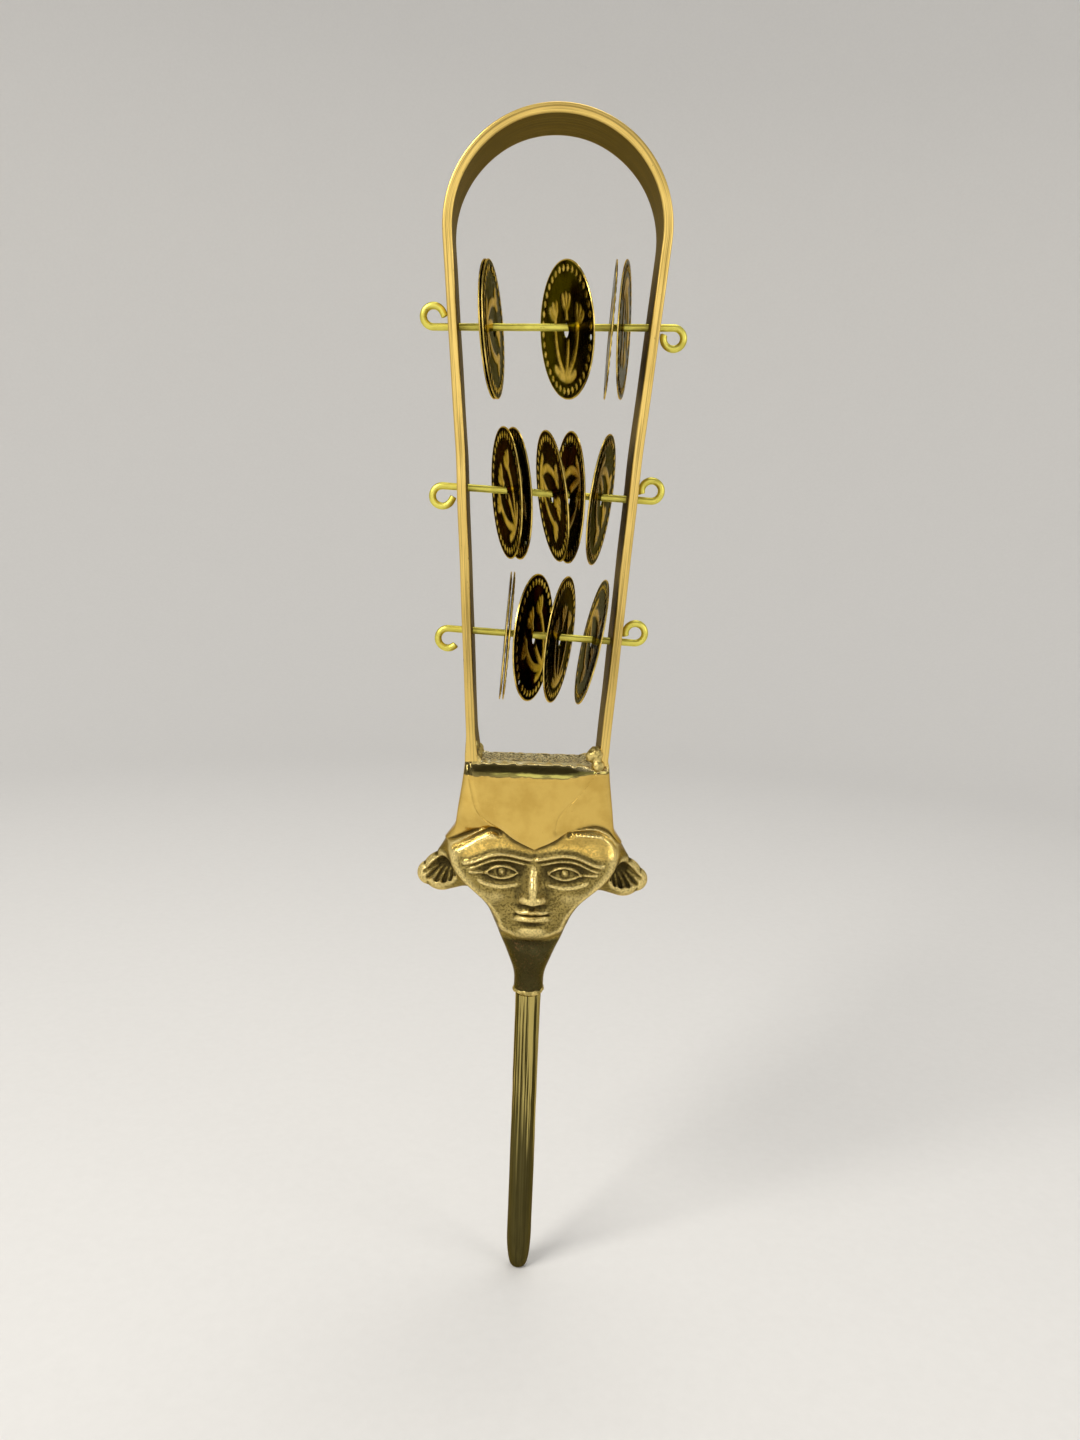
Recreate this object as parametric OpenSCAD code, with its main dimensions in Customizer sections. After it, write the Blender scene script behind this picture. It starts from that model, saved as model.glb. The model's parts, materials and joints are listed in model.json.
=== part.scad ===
// Brass sistrum: a cast head with cow ears on a round bar handle, an arched strip frame brazed to
// the head, three loose cross rods with curled ends, and five thin stamped discs on each rod.
// The long axis is Z, the face looks to -Y, and the origin is on the axis at mid-grip.

/* [Handle] */
// Diameter of the handle bar
grip_d = 8; // [6:0.5:12]
// Length of the bar that shows, from the collar to the tip
grip_len = 96.5; // [70:0.5:140]
// Length of the rounded taper at the tip
tip_len = 12; // [6:0.5:20]
// Diameter of the flat at the very tip
tip_d = 4; // [2:0.5:5]
// Diameter of the tang that goes up into the neck
tang_d = 5; // [3:0.5:6]
// Length of the tang
tang_len = 14; // [8:0.5:16]
// Room left round the tang and above it
tang_gap = 0.1; // [0.05:0.05:0.3]
// Thickness of the braze ring under the collar
braze_ring_t = 1.1; // [0.6:0.1:2]
// Depth of the filed seat in the bar that holds the braze ring
braze_seat_depth = 0.2; // [0.1:0.05:0.5]
// Length of the filed seat that shows below the braze ring
braze_seat_room = 0.3; // [0.1:0.1:1]

/* [Head casting] */
// Width of the crown block across its flat sides
crown_w = 43.4; // [36:0.2:52]
// Depth of the crown block, front to back
crown_d = 21.6; // [18:0.2:28]
// Height of the crown block, from its top to the brow line
crown_h = 25; // [18:0.5:32]
// Width of the chamfer round the crown's top edge
crown_chamfer = 0.8; // [0.3:0.1:2]
// Height of the chamfer round the crown's top edge
crown_chamfer_h = 2.4; // [1:0.1:4]
// Height of the face, from the brow line to the chin
face_h = 29; // [22:0.5:38]
// Width of the head at the root of the ears
root_w = 52; // [44:0.5:60]
// Width of the face at the cheeks
cheek_w = 47; // [36:0.5:54]
// Width of the jaw
jaw_w = 32; // [24:0.5:36]
// Width of the chin
chin_w = 21; // [16:0.5:26]
// How far the face stands out from the axis
face_out = 12.4; // [10:0.2:16]
// How far the back of the head stands out from the axis
back_out = 10.4; // [8:0.2:14]
// Length of the neck, from the chin to the end of the collar
neck_len = 20; // [17:0.5:28]
// Diameter of the neck under the chin
neck_d = 15; // [11:0.5:18]
// Diameter of the collar at the end of the neck
collar_d = 9.2; // [8.5:0.1:12]
// Distance between the tips of the ears
ear_span = 71; // [62:0.5:84]
// Height of an ear at its middle
ear_h = 12.4; // [8:0.2:16]
// Thickness of an ear at its root, front to back
ear_t = 12; // [8:0.2:16]
// Depth of the ear's hollow
ear_hollow = 3; // [1:0.2:4]
// How far the nose stands out from the face
nose_out = 4.6; // [2:0.2:6]
// How far the brows and the rest of the relief stand out from the face
brow_out = 1; // [0.4:0.1:1.6]

/* [Arch frame] */
// Width of the strip, front to back
strip_w = 20; // [12:0.5:24]
// Thickness of the strip
strip_t = 2.7; // [1.5:0.1:4]
// Outside radius of the round top
arch_r = 31.6; // [26:0.2:38]
// Slope of the upper legs, in degrees from the axis
leg_slope = 5; // [2:0.1:6]
// Height of the round top's centre above the top rod
arch_rise = 25; // [15:0.5:40]
// Height above the middle rod where the legs bend
bend_rise = 10; // [3:0.5:16]
// Room between a leg's outer face and the crown's top edge
foot_inset = 0.1; // [0:0.05:0.5]
// Size of the larger braze bead, at the right foot
bead_d = 5; // [3:0.2:7]
// Size of the smaller braze fillet, at the left foot
fillet_d = 3.4; // [2:0.2:5]

/* [Cross rods] */
// Diameter of the wire
wire_d = 2.2; // [1.6:0.1:3]
// Room between a rod and its holes in the legs
rod_gap = 0.15; // [0.05:0.05:0.4]
// Radius of a curled end, at the middle of the wire
loop_r = 2.9; // [2.4:0.1:4]
// Room between a curled end and the leg
loop_gap = 0.8; // [0.6:0.1:2]
// Height of the lowest discs above the crown
foot_room = 18; // [6:0.5:30]
// Height between the bottom and middle rows of discs
low_row_gap = 3.6; // [2:0.1:12]
// Height between the middle and top rows of discs
high_row_gap = 8.4; // [2:0.1:16]
// Slope of the top rod, in degrees, rising to the right
top_rod_slope = 2; // [-3:0.1:3]
// Slope of the middle rod, in degrees, rising to the right
middle_rod_slope = -2; // [-3:0.1:3]
// Slope of the bottom rod, in degrees, rising to the right
bottom_rod_slope = -2.4; // [-3:0.1:3]
// Room between the cut end of a curl and its own rod
curl_gap = 0.3; // [0.2:0.1:1.5]
// How far round the one open curl goes, in degrees
open_loop_turn = 235; // [180:5:270]

/* [Discs] */
// Diameter of a disc
disc_d = 38; // [30:0.5:42]
// Thickness of the sheet
disc_t = 0.4; // [0.3:0.05:0.8]
// Diameter of the hole that the rod goes through
disc_hole_d = 4; // [3.4:0.1:6]
// Diameter of the sewing hole near the rim
sew_hole_d = 1.8; // [1:0.1:3]
// Width of metal between the sewing hole and the rim
sew_edge = 1.4; // [0.8:0.1:3]
// Room between the rod and the edge of the hole that hangs on it
hang_gap = 0.1; // [0.05:0.05:0.3]
// Least room between neighbouring discs, and between a disc and a leg
disc_gap = 0.4; // [0.1:0.05:0.6]
// Turn of the top discs about the vertical, from left to right, in degrees
top_turn = [-7.5, -7.5, 21.5, -2, -9.5]; // [-30:0.5:30]
// Lean of the top discs, from left to right, in degrees
top_lean = [-4.5, -4.5, -6.5, 2.5, 1]; // [-15:0.5:15]
// Place of the sewing holes round the rims of the top discs, from left to right, in degrees
top_spin = [89, 186, 283, 20, 117]; // [0:1:360]
// Shares of the free room along the top rod, before each disc and after the last
top_share = [5.5, 0.1, 10.1, 3.2, 0.5, 2.5]; // [0:0.1:20]
// Turn of the middle discs about the vertical, from left to right, in degrees
middle_turn = [14, 14, 11.5, 11.5, -13]; // [-30:0.5:30]
// Lean of the middle discs, from left to right, in degrees
middle_lean = [-5.5, -5.5, -9, -1, 6]; // [-15:0.5:15]
// Place of the sewing holes round the rims of the middle discs, from left to right, in degrees
middle_spin = [229, 326, 31, 160, 151]; // [0:1:360]
// Shares of the free room along the middle rod, before each disc and after the last
middle_share = [5.7, 2, 8.5, 1.5, 0.4, 1.8]; // [0:0.1:20]
// Turn of the bottom discs about the vertical, from left to right, in degrees
bottom_turn = [1, 1, -18, -14, 4]; // [-30:0.5:30]
// Lean of the bottom discs, from left to right, in degrees
bottom_lean = [3.5, 3.5, 1.5, 5, 11]; // [-15:0.5:15]
// Place of the sewing holes round the rims of the bottom discs, from left to right, in degrees
bottom_spin = [9, 106, 316, 277, 37]; // [0:1:360]
// Shares of the free room along the bottom rod, before each disc and after the last
bottom_share = [6.9, 0.2, 0.1, 5.5, 2.5, 1.8]; // [0:0.1:20]

/* [Hidden] */
$fn = 64;
brass = "goldenrod";
bright_brass = "gold";
braze_brass = "darkgoldenrod";

// Heights of the handle, the head and the crown's top
handle_top = grip_len / 2;
handle_tip = -grip_len / 2;
chin_z = handle_top + neck_len;
brow_z = chin_z + face_h;
shoulder_z = brow_z + crown_h;

// Heights of the three rods on the axis, the legs' bend and the round top's centre
bottom_rod_z = shoulder_z + foot_room + disc_d / 2;
middle_rod_z = bottom_rod_z + disc_d + low_row_gap;
top_rod_z = middle_rod_z + disc_d + high_row_gap;
rod_lines = [[top_rod_z, top_rod_slope], [middle_rod_z, middle_rod_slope], [bottom_rod_z, bottom_rod_slope]];
bend_z = middle_rod_z + bend_rise;
arch_z = top_rod_z + arch_rise;

// Half width of the arch's outer or inner face at a height, for a face that lies in from the outside
foot_half = crown_w / 2 - crown_chamfer - foot_inset;
function upper_half(z, in) = (arch_r - in + (z - arch_z) * sin(leg_slope)) / cos(leg_slope);
function lower_half(z, in) = let (
        foot = foot_half - in,
        bend = upper_half(bend_z, in)
    ) foot + (bend - foot) * (z - shoulder_z) / (bend_z - shoulder_z);
function leg_half(z, in) = z > bend_z ? upper_half(z, in) : lower_half(z, in);
function leg_angle(z) = atan(leg_half(z + 1, 0) - leg_half(z, 0));

// A smooth curve through a list of [place, value] points
function slope_at(pts, i) = let (
        a = pts[max(i - 1, 0)],
        b = pts[min(i + 1, len(pts) - 1)]
    ) (b[1] - a[1]) / (b[0] - a[0]);
function span_at(pts, x) = max([for (i = [0 : len(pts) - 2]) if (i == 0 || x >= pts[i][0]) i]);
function curve(pts, x) = let (
        i = span_at(pts, x),
        d = pts[i + 1][0] - pts[i][0],
        t = min(1, max(0, (x - pts[i][0]) / d)),
        t2 = t * t,
        t3 = t2 * t
    ) pts[i][1] * (2 * t3 - 3 * t2 + 1) + pts[i + 1][1] * (3 * t2 - 2 * t3)
      + d * (slope_at(pts, i) * (t3 - 2 * t2 + t) + slope_at(pts, i + 1) * (t3 - t2));

// The head's half width, front, back and squareness by height
collar_z = handle_top + neck_len / 4;
nape_z = handle_top + neck_len * 0.68;
jaw_z = chin_z + face_h * 0.36;
cheek_z = chin_z + face_h * 0.62;
root_z = brow_z - face_h * 0.1;
crown_low_z = brow_z + crown_h * 0.2;
crown_top_z = shoulder_z - crown_chamfer_h;
half_points = [
    [handle_top, collar_d / 2], [collar_z, collar_d / 2], [nape_z, neck_d / 2], [chin_z, chin_w / 2],
    [jaw_z, jaw_w / 2], [cheek_z, cheek_w / 2], [root_z, root_w / 2],
    [crown_low_z, crown_w * 0.546], [crown_top_z, crown_w / 2]
];
front_points = [
    [handle_top, collar_d / 2], [collar_z, collar_d / 2], [nape_z, neck_d / 2],
    [chin_z - face_h * 0.055, neck_d * 0.57], [chin_z + face_h * 0.048, face_out * 0.9],
    [jaw_z, face_out * 0.985], [cheek_z, face_out], [root_z, face_out * 0.97],
    [crown_low_z, crown_d * 0.51], [crown_top_z, crown_d / 2]
];
back_points = [
    [handle_top, collar_d / 2], [collar_z, collar_d / 2], [nape_z, neck_d / 2], [chin_z, back_out * 0.81],
    [cheek_z, back_out], [crown_low_z, crown_d / 2], [crown_top_z, crown_d / 2]
];
square_points = [
    [handle_top, 2], [nape_z, 2], [chin_z, 2.4], [jaw_z, 3], [cheek_z, 3.2], [root_z, 3.2],
    [crown_low_z, 5], [crown_top_z, 6]
];

// The face's relief, by shares of the cheeks' width out from the middle and of the face's height up
function bump(d, w) = exp(-pow(d / w, 2));
function ramp(x, a, b) = let (t = min(1, max(0, (x - a) / (b - a)))) t * t * (3 - 2 * t);
function hairline(u) = 1 + 0.124 * pow(sin(min(90, 420 * u)), 2) - 0.138 * ramp(u, 0.21, 0.47);
function crown_edge(u, v) = let (line = hairline(u))
    1.1 * ramp(v, line - 0.028, line + 0.028) * ramp(v, 1.48, 1.17);
function brow(u, v) = let (arch = 0.88 + 0.045 * bump(u - 0.2, 0.128) - 0.048 * ramp(u, 0.255, 0.426))
    bump(v - arch, 0.041) * ramp(u, 0.426, 0.32);
function eye(u, v) = 1.5 * bump(u - 0.2, 0.09) * bump(v - 0.72, 0.062)
    - 1.8 * bump(u - 0.187, 0.132) * bump(v - 0.73, 0.117);
function nose(u, v) = let (
        down = ramp(v, 0.932, 0.437),
        foot = ramp(v, 0.379, 0.448)
    ) foot * (down * bump(u, 0.036 + 0.0234 * down)
        + 0.35 * bump(u - 0.057, 0.028) * bump(v - 0.468, 0.055));
function cheek(u, v) = 0.9 * bump(u - 0.223, 0.106) * bump(v - 0.489, 0.138);
function lips(u, v) = 0.8 * bump(u, 0.128) * bump(v - 0.28, 0.124)
    + bump(u, 0.094) * (bump(v - 0.3145, 0.028) + 1.2 * bump(v - 0.242, 0.031));
function chin(u, v) = 1.5 * bump(u, 0.098) * bump(v - 0.09, 0.076);
function relief(x, z) = let (
        u = abs(x) / cheek_w,
        v = (z - chin_z) / face_h
    ) nose_out * nose(u, v)
      + brow_out * (crown_edge(u, v) + brow(u, v) + eye(u, v) + cheek(u, v) + lips(u, v) + chin(u, v));

// Rings of points up the head, close together over the face
front_steps = 40;
back_steps = 10;
ring_n = front_steps + back_steps;
function steps(a, b, n) = [for (i = [0 : n - 1]) a + (b - a) * i / n];
under_chin_z = chin_z - face_h * 0.1;
ring_z = concat(
    steps(handle_top, under_chin_z, 7),
    steps(under_chin_z, crown_low_z, 28),
    steps(crown_low_z, crown_top_z, 6),
    [crown_top_z, shoulder_z]
);
function inset(z) = z > crown_top_z ? crown_chamfer : 0;
function section(z) = [
    curve(half_points, z) - inset(z), curve(front_points, z) - inset(z),
    curve(back_points, z) - inset(z), curve(square_points, z)
];
function rim(u, out, p) = out * pow(max(0, 1 - pow(abs(u), p)), 1 / p);
function front_point(s, z, i) = let (
        u = sin(-90 + 180 * i / front_steps),
        x = s[0] * u,
        fade = pow(max(0, 1 - pow(abs(u), 6)), 0.5)
    ) [x, -rim(u, s[1], s[3]) - fade * relief(x, z), z];
function back_point(s, z, i) = let (u = cos(180 * i / back_steps)) [s[0] * u, rim(u, s[2], s[3]), z];
function ring(z) = let (s = section(z)) concat(
        [for (i = [0 : front_steps]) front_point(s, z, i)],
        [for (i = [1 : back_steps - 1]) back_point(s, z, i)]
    );

// Lofts closed rings of points, all of one count, with flat ends
module loft(rings) {
    n = len(rings[0]);
    last = len(rings) - 1;
    polyhedron(
        points = [for (r = rings) each r],
        faces = concat(
            [[for (i = [0 : n - 1]) i]],
            [for (k = [0 : last - 1], i = [0 : n - 1]) let (j = (i + 1) % n) each [
                [k * n + i, (k + 1) * n + i, (k + 1) * n + j],
                [k * n + i, (k + 1) * n + j, k * n + j]
            ]],
            [[for (i = [n - 1 : -1 : 0]) last * n + i]]
        )
    );
}

// A ball squashed front to back, placed across and up the head
module ear_ball(x, z, r, depth) {
    translate([x, 0, z])
        scale([1, depth / r, 1])
            sphere(r = r, $fn = 20);
}

// One cow ear to the right: a leaf with a round tip, hollowed from the front
ear_z = brow_z - face_h * 0.4;
ear_tip = ear_span / 2;
module ear() {
    ear_r = ear_h / 2;
    belly_x = ear_tip - ear_r * 1.22;
    difference() {
        union() {
            hull() {
                ear_ball(root_w * 0.4, ear_z + ear_r * 0.35, ear_r, ear_t * 0.5);
                ear_ball(belly_x, ear_z, ear_r * 0.98, ear_t * 0.42);
            }
            hull() {
                ear_ball(belly_x, ear_z, ear_r * 0.98, ear_t * 0.42);
                ear_ball(ear_tip - ear_r * 0.62, ear_z - ear_r * 0.1, ear_r * 0.62, ear_t * 0.28);
            }
            hull() {
                ear_ball(root_w * 0.365, brow_z + face_h * 0.035, ear_r * 0.6, ear_t * 0.42);
                ear_ball(root_w * 0.52, ear_z + ear_r * 0.84, ear_r * 0.4, ear_t * 0.33);
            }
        }
        translate([0, -ear_t * 0.37, 0])
            hull() {
                ear_ball(root_w * 0.53, ear_z + ear_r * 0.1, ear_r * 0.55, ear_hollow);
                ear_ball(ear_tip - ear_r * 0.75, ear_z - ear_r * 0.06, ear_r * 0.42, ear_hollow);
            }
    }
}

module head_casting() {
    color(brass)
        difference() {
            union() {
                loft([for (z = ring_z) ring(z)]);
                ear();
                mirror([1, 0, 0])
                    ear();
            }
            translate([0, 0, handle_top - 1])
                cylinder(r = (tang_d / 2 + tang_gap) / cos(180 / $fn), h = tang_len + tang_gap + 1);
        }
}

// The strip's round top, cut off where the legs spring from it
spring = [cos(leg_slope), -sin(leg_slope)];
module arch_top() {
    translate([0, arch_z])
        difference() {
            circle(r = arch_r, $fn = 160);
            circle(r = arch_r - strip_t, $fn = 160);
            polygon([
                [0, 0], 2 * arch_r * spring, [2 * arch_r, -3 * arch_r],
                [-2 * arch_r, -3 * arch_r], [-2 * arch_r * spring[0], 2 * arch_r * spring[1]]
            ]);
        }
}

// The right leg, which bends a little at the waist and laps into the round top
module leg() {
    lap = [cos(leg_slope - 3), -sin(leg_slope - 3)];
    polygon([
        [0, arch_z] + arch_r * spring,
        [upper_half(bend_z, 0), bend_z],
        [lower_half(shoulder_z, 0), shoulder_z],
        [lower_half(shoulder_z, strip_t), shoulder_z],
        [upper_half(bend_z, strip_t), bend_z],
        [0, arch_z] + (arch_r - strip_t) * spring,
        [0, arch_z] + (arch_r - strip_t / 2) * lap
    ]);
}

// Gives an outline across and up the part the depth of the strip
module strip_deep() {
    rotate([90, 0, 0])
        linear_extrude(height = strip_w, center = true)
            children();
}

module along_rod(z, slope) {
    translate([0, 0, z])
        rotate([0, -slope, 0])
            children();
}

module arch_frame() {
    color(brass)
        difference() {
            union() {
                strip_deep()
                    arch_top();
                strip_deep()
                    leg();
                mirror([1, 0, 0])
                    strip_deep()
                        leg();
            }
            for (rod = rod_lines)
                along_rod(rod[0], rod[1])
                    rotate([0, 90, 0])
                        cylinder(d = wire_d + 2 * rod_gap, h = 4 * arch_r, center = true);
        }
}

// The bar with its tang, turned about the axis: points go up the outside
seat_r = grip_d / 2 - braze_seat_depth;
module handle_rod() {
    seat_z = handle_top - braze_ring_t - braze_seat_room;
    tip_points = [for (a = [0 : 15 : 90]) [
        tip_d / 2 + (grip_d - tip_d) / 2 * sin(a),
        handle_tip + tip_len * (1 - cos(a))
    ]];
    color(brass)
        rotate_extrude($fn = 96)
            polygon(concat(
                [[0, handle_tip]],
                tip_points,
                [
                    [grip_d / 2, seat_z], [seat_r, seat_z],
                    [seat_r, handle_top], [tang_d / 2, handle_top],
                    [tang_d / 2, handle_top + tang_len], [0, handle_top + tang_len]
                ]
            ));
}

// Rounded bead of braze metal in the corner under the collar
module handle_braze_ring() {
    color(braze_brass)
        translate([0, 0, handle_top])
            rotate_extrude($fn = 96)
                intersection() {
                    translate([seat_r, 0])
                        circle(r = braze_ring_t, $fn = 48);
                    translate([seat_r, -2 * braze_ring_t])
                        square([2 * braze_ring_t, 2 * braze_ring_t]);
                }
}

// The corner between the right leg's inner face and the crown's top, from front to back
module right_corner() {
    strip_deep()
        polygon([
            [0, shoulder_z], [lower_half(shoulder_z, strip_t), shoulder_z],
            [lower_half(shoulder_z + 2 * bead_d, strip_t), shoulder_z + 2 * bead_d],
            [0, shoulder_z + 2 * bead_d]
        ]);
}

module corner_bar(d) {
    translate([lower_half(shoulder_z, strip_t), 0, shoulder_z])
        rotate([90, 0, 0])
            cylinder(d = d, h = strip_w, center = true);
}

module right_foot_braze() {
    bead_z = shoulder_z + bead_d * 0.6;
    bead_x = lower_half(bead_z, strip_t) - bead_d * 0.24;
    color(braze_brass)
        intersection() {
            right_corner();
            union() {
                corner_bar(fillet_d * 0.8);
                translate([bead_x, bead_d / 2 - strip_w / 2, bead_z])
                    sphere(d = bead_d);
            }
        }
}

module left_foot_braze() {
    color(braze_brass)
        mirror([1, 0, 0])
            intersection() {
                right_corner();
                corner_bar(fillet_d);
            }
}

// A curled end that leaves the rod's end along +X and turns up: bending draws the wire down a little
curl_d = wire_d * 0.98;
curl_lap = wire_d / 10;
module loop(turn) {
    translate([-curl_lap, 0, loop_r])
        rotate([90, 0, 0])
            rotate_extrude(angle = turn, start = -90, $fn = 96)
                translate([loop_r, 0])
                    circle(d = curl_d, $fn = 32);
}

// Distance from mid-rod to the outer face of the leg on the right (1) or left (-1), along the rod
function leg_reach(z, slope, side) = let (
        guess = leg_half(z, 0),
        there = leg_half(z + side * guess * tan(slope), 0)
    ) there / cos(slope);

// How far round a curl goes before its cut end comes near its rod
loop_turn = 270 + asin((loop_r - wire_d / 2 - curl_gap) / (loop_r + wire_d / 2));

// A rod with a curl at each end, which turns up (1) or down (-1)
module rod(z, slope, left_way, right_way, left_turn, right_turn) {
    stand_off = loop_gap + wire_d / 2 + loop_r;
    left_end = leg_reach(z, slope, -1) + stand_off;
    right_end = leg_reach(z, slope, 1) + stand_off;
    color(bright_brass)
        along_rod(z, slope)
            union() {
                translate([-left_end, 0, 0])
                    rotate([0, 90, 0])
                        cylinder(d = wire_d, h = left_end + right_end);
                translate([right_end, 0, 0])
                    rotate([right_way > 0 ? 0 : 180, 0, 0])
                        loop(right_turn);
                translate([-left_end, 0, 0])
                    rotate([left_way > 0 ? 0 : 180, 0, 180])
                        loop(left_turn);
            }
}

module top_rod() {
    rod(top_rod_z, top_rod_slope, 1, -1, loop_turn, loop_turn);
}

module middle_rod() {
    rod(middle_rod_z, middle_rod_slope, -1, 1, loop_turn, loop_turn);
}

module bottom_rod() {
    rod(bottom_rod_z, bottom_rod_slope, -1, 1, open_loop_turn, loop_turn);
}

// How a row of discs shares its rod: the least room that tilted neighbours need, and then the shares
function facing(turn, lean) = [cos(lean) * cos(turn), cos(lean) * sin(turn), -sin(lean)];
function along(slope) = [cos(slope), 0, sin(slope)];
function apart(n, m, slope) = let (least = min(n * along(slope), m * along(slope)))
    disc_d / 2 * norm(cross(n, m)) / least + disc_t + disc_gap;
function leg_facing(z, side) = facing(0, side * leg_angle(z));
function row_facings(z, turns, leans) = concat(
        [leg_facing(z, -1)],
        [for (i = [0 : len(turns) - 1]) facing(turns[i], leans[i])],
        [leg_facing(z, 1)]
    );
function least_room(z, slope, turns, leans) = let (f = row_facings(z, turns, leans))
    [for (i = [0 : len(f) - 2]) apart(f[i], f[i + 1], slope)];
function total(v, n) = n < 1 ? 0 : v[n - 1] + total(v, n - 1);
function inner_reach(z, slope, side) = leg_reach(z, slope, side) - strip_t / cos(leg_angle(z));
function row_places(z, slope, turns, leans, shares) = let (
        room = least_room(z, slope, turns, leans),
        n = len(room),
        from = -inner_reach(z, slope, -1),
        free = inner_reach(z, slope, 1) - from - total(room, n),
        unit = free / total(shares, n)
    ) [for (i = [1 : n - 1]) from + total(room, i) + unit * total(shares, i)];
top_places = row_places(top_rod_z, top_rod_slope, top_turn, top_lean, top_share);
middle_places = row_places(middle_rod_z, middle_rod_slope, middle_turn, middle_lean, middle_share);
bottom_places = row_places(bottom_rod_z, bottom_rod_slope, bottom_turn, bottom_lean, bottom_share);
hang = disc_hole_d / 2 - wire_d / 2 - hang_gap;

// One disc: thin sheet with a hole for the rod and a sewing hole near its rim
module disc(z, slope, place, turn, lean, spin) {
    color(bright_brass)
        along_rod(z, slope)
            translate([place, 0, 0])
                rotate([0, slope, 0])
                    rotate([0, 90 + lean, turn])
                        translate([hang, 0, 0])
                            difference() {
                                cylinder(d = disc_d, h = disc_t, center = true);
                                cylinder(d = disc_hole_d, h = 4 * disc_t, center = true);
                                rotate([0, 0, spin])
                                    translate([disc_d / 2 - sew_edge - sew_hole_d / 2, 0, 0])
                                        cylinder(d = sew_hole_d, h = 4 * disc_t, center = true);
                            }
}

module top_disc(i) {
    disc(top_rod_z, top_rod_slope, top_places[i], top_turn[i], top_lean[i], top_spin[i]);
}

module middle_disc(i) {
    disc(middle_rod_z, middle_rod_slope, middle_places[i], middle_turn[i], middle_lean[i], middle_spin[i]);
}

module bottom_disc(i) {
    disc(bottom_rod_z, bottom_rod_slope, bottom_places[i], bottom_turn[i], bottom_lean[i], bottom_spin[i]);
}

head_casting();
arch_frame();
handle_rod();
handle_braze_ring();
right_foot_braze();
left_foot_braze();
top_rod();
middle_rod();
bottom_rod();
top_disc(0);  // top_disc_1
top_disc(1);  // top_disc_2
top_disc(2);  // top_disc_3
top_disc(3);  // top_disc_4
top_disc(4);  // top_disc_5
middle_disc(0);  // middle_disc_1
middle_disc(1);  // middle_disc_2
middle_disc(2);  // middle_disc_3
middle_disc(3);  // middle_disc_4
middle_disc(4);  // middle_disc_5
bottom_disc(0);  // bottom_disc_1
bottom_disc(1);  // bottom_disc_2
bottom_disc(2);  // bottom_disc_3
bottom_disc(3);  // bottom_disc_4
bottom_disc(4);  // bottom_disc_5
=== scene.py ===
import json
import math

import bpy
import numpy as np
from mathutils import Matrix, Vector

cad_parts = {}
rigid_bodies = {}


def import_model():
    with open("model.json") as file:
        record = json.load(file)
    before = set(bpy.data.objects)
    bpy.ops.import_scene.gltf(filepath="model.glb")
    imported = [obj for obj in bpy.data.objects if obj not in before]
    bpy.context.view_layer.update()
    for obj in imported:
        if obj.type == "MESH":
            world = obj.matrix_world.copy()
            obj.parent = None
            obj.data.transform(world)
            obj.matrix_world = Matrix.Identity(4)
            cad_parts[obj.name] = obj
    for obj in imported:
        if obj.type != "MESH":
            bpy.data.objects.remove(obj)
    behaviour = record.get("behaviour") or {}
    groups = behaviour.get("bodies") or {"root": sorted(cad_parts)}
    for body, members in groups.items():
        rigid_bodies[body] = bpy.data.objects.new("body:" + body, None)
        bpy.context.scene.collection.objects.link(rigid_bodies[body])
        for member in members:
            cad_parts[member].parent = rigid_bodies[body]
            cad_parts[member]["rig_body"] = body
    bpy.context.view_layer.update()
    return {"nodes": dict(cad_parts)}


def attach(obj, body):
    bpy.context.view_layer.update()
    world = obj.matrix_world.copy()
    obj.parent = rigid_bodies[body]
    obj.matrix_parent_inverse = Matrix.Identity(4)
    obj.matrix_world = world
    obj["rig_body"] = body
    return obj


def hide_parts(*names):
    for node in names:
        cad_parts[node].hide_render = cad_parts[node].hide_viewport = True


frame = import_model()

# Handle bar
# A drawn round bar of brass, 8 mm thick and 96 mm long below the collar, rounded off to a blunt tip.
# Its top end is filed down a little where the braze holds it to the neck.
# Sizes are in millimetres, here and in all sections but the studio.
MM = 0.001
BAR_TOP = 48.25
BAR_TIP = -48.25
BAR_R = 4.0
BAR_TIP_R = 2.0
BAR_TIP_ROUND = 0.3
BAR_TAPER = 12.0
BAR_SEAT_R = 3.8
BAR_SEAT_LEN = 1.4
# All four bar colours are far darker than bare brass: a painted dark reflection, over a real dull tarnish
# towards the tip.
STREAK_DARK = (0.045, 0.036, 0.01, 1)
STREAK_BRIGHT = (0.52, 0.42, 0.135, 1)
MATT_DARK = (0.062, 0.051, 0.016, 1)
MATT_LIGHT = (0.11, 0.091, 0.03, 1)
ROUND = np.linspace(0, 2 * np.pi, 120, endpoint=False)


class Shade:
    """A socket in a material's tree. Sums on it add Math nodes, and node() adds any other node."""

    def __init__(self, tree, socket=None):
        self.tree = tree
        self.socket = socket

    def node(self, kind, settings=(), sockets=(), output=0):
        made = self.tree.nodes.new("ShaderNode" + kind)
        for name, value in dict(settings).items():
            setattr(made, name, value)
        for name, value in dict(sockets).items():
            if isinstance(value, Shade):
                self.tree.links.new(value.socket, made.inputs[name])
            else:
                made.inputs[name].default_value = value
        return Shade(self.tree, made.outputs[output])

    def maths(self, operation, a, b):
        return self.node("Math", {"operation": operation}, {0: a, 1: b})

    def __add__(self, other):
        return self.maths("ADD", self, other)

    def __sub__(self, other):
        return self.maths("SUBTRACT", self, other)

    def __mul__(self, other):
        return self.maths("MULTIPLY", self, other)

    def __rsub__(self, other):
        return self.maths("SUBTRACT", other, self)

    __radd__ = __add__
    __rmul__ = __mul__


def spot_on(start):
    """The place on a piece in millimetres."""
    place = start.node("TexCoord", output=3)
    return start.node("VectorMath", {"operation": "SCALE"}, {0: place, "Scale": 1 / MM})


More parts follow.
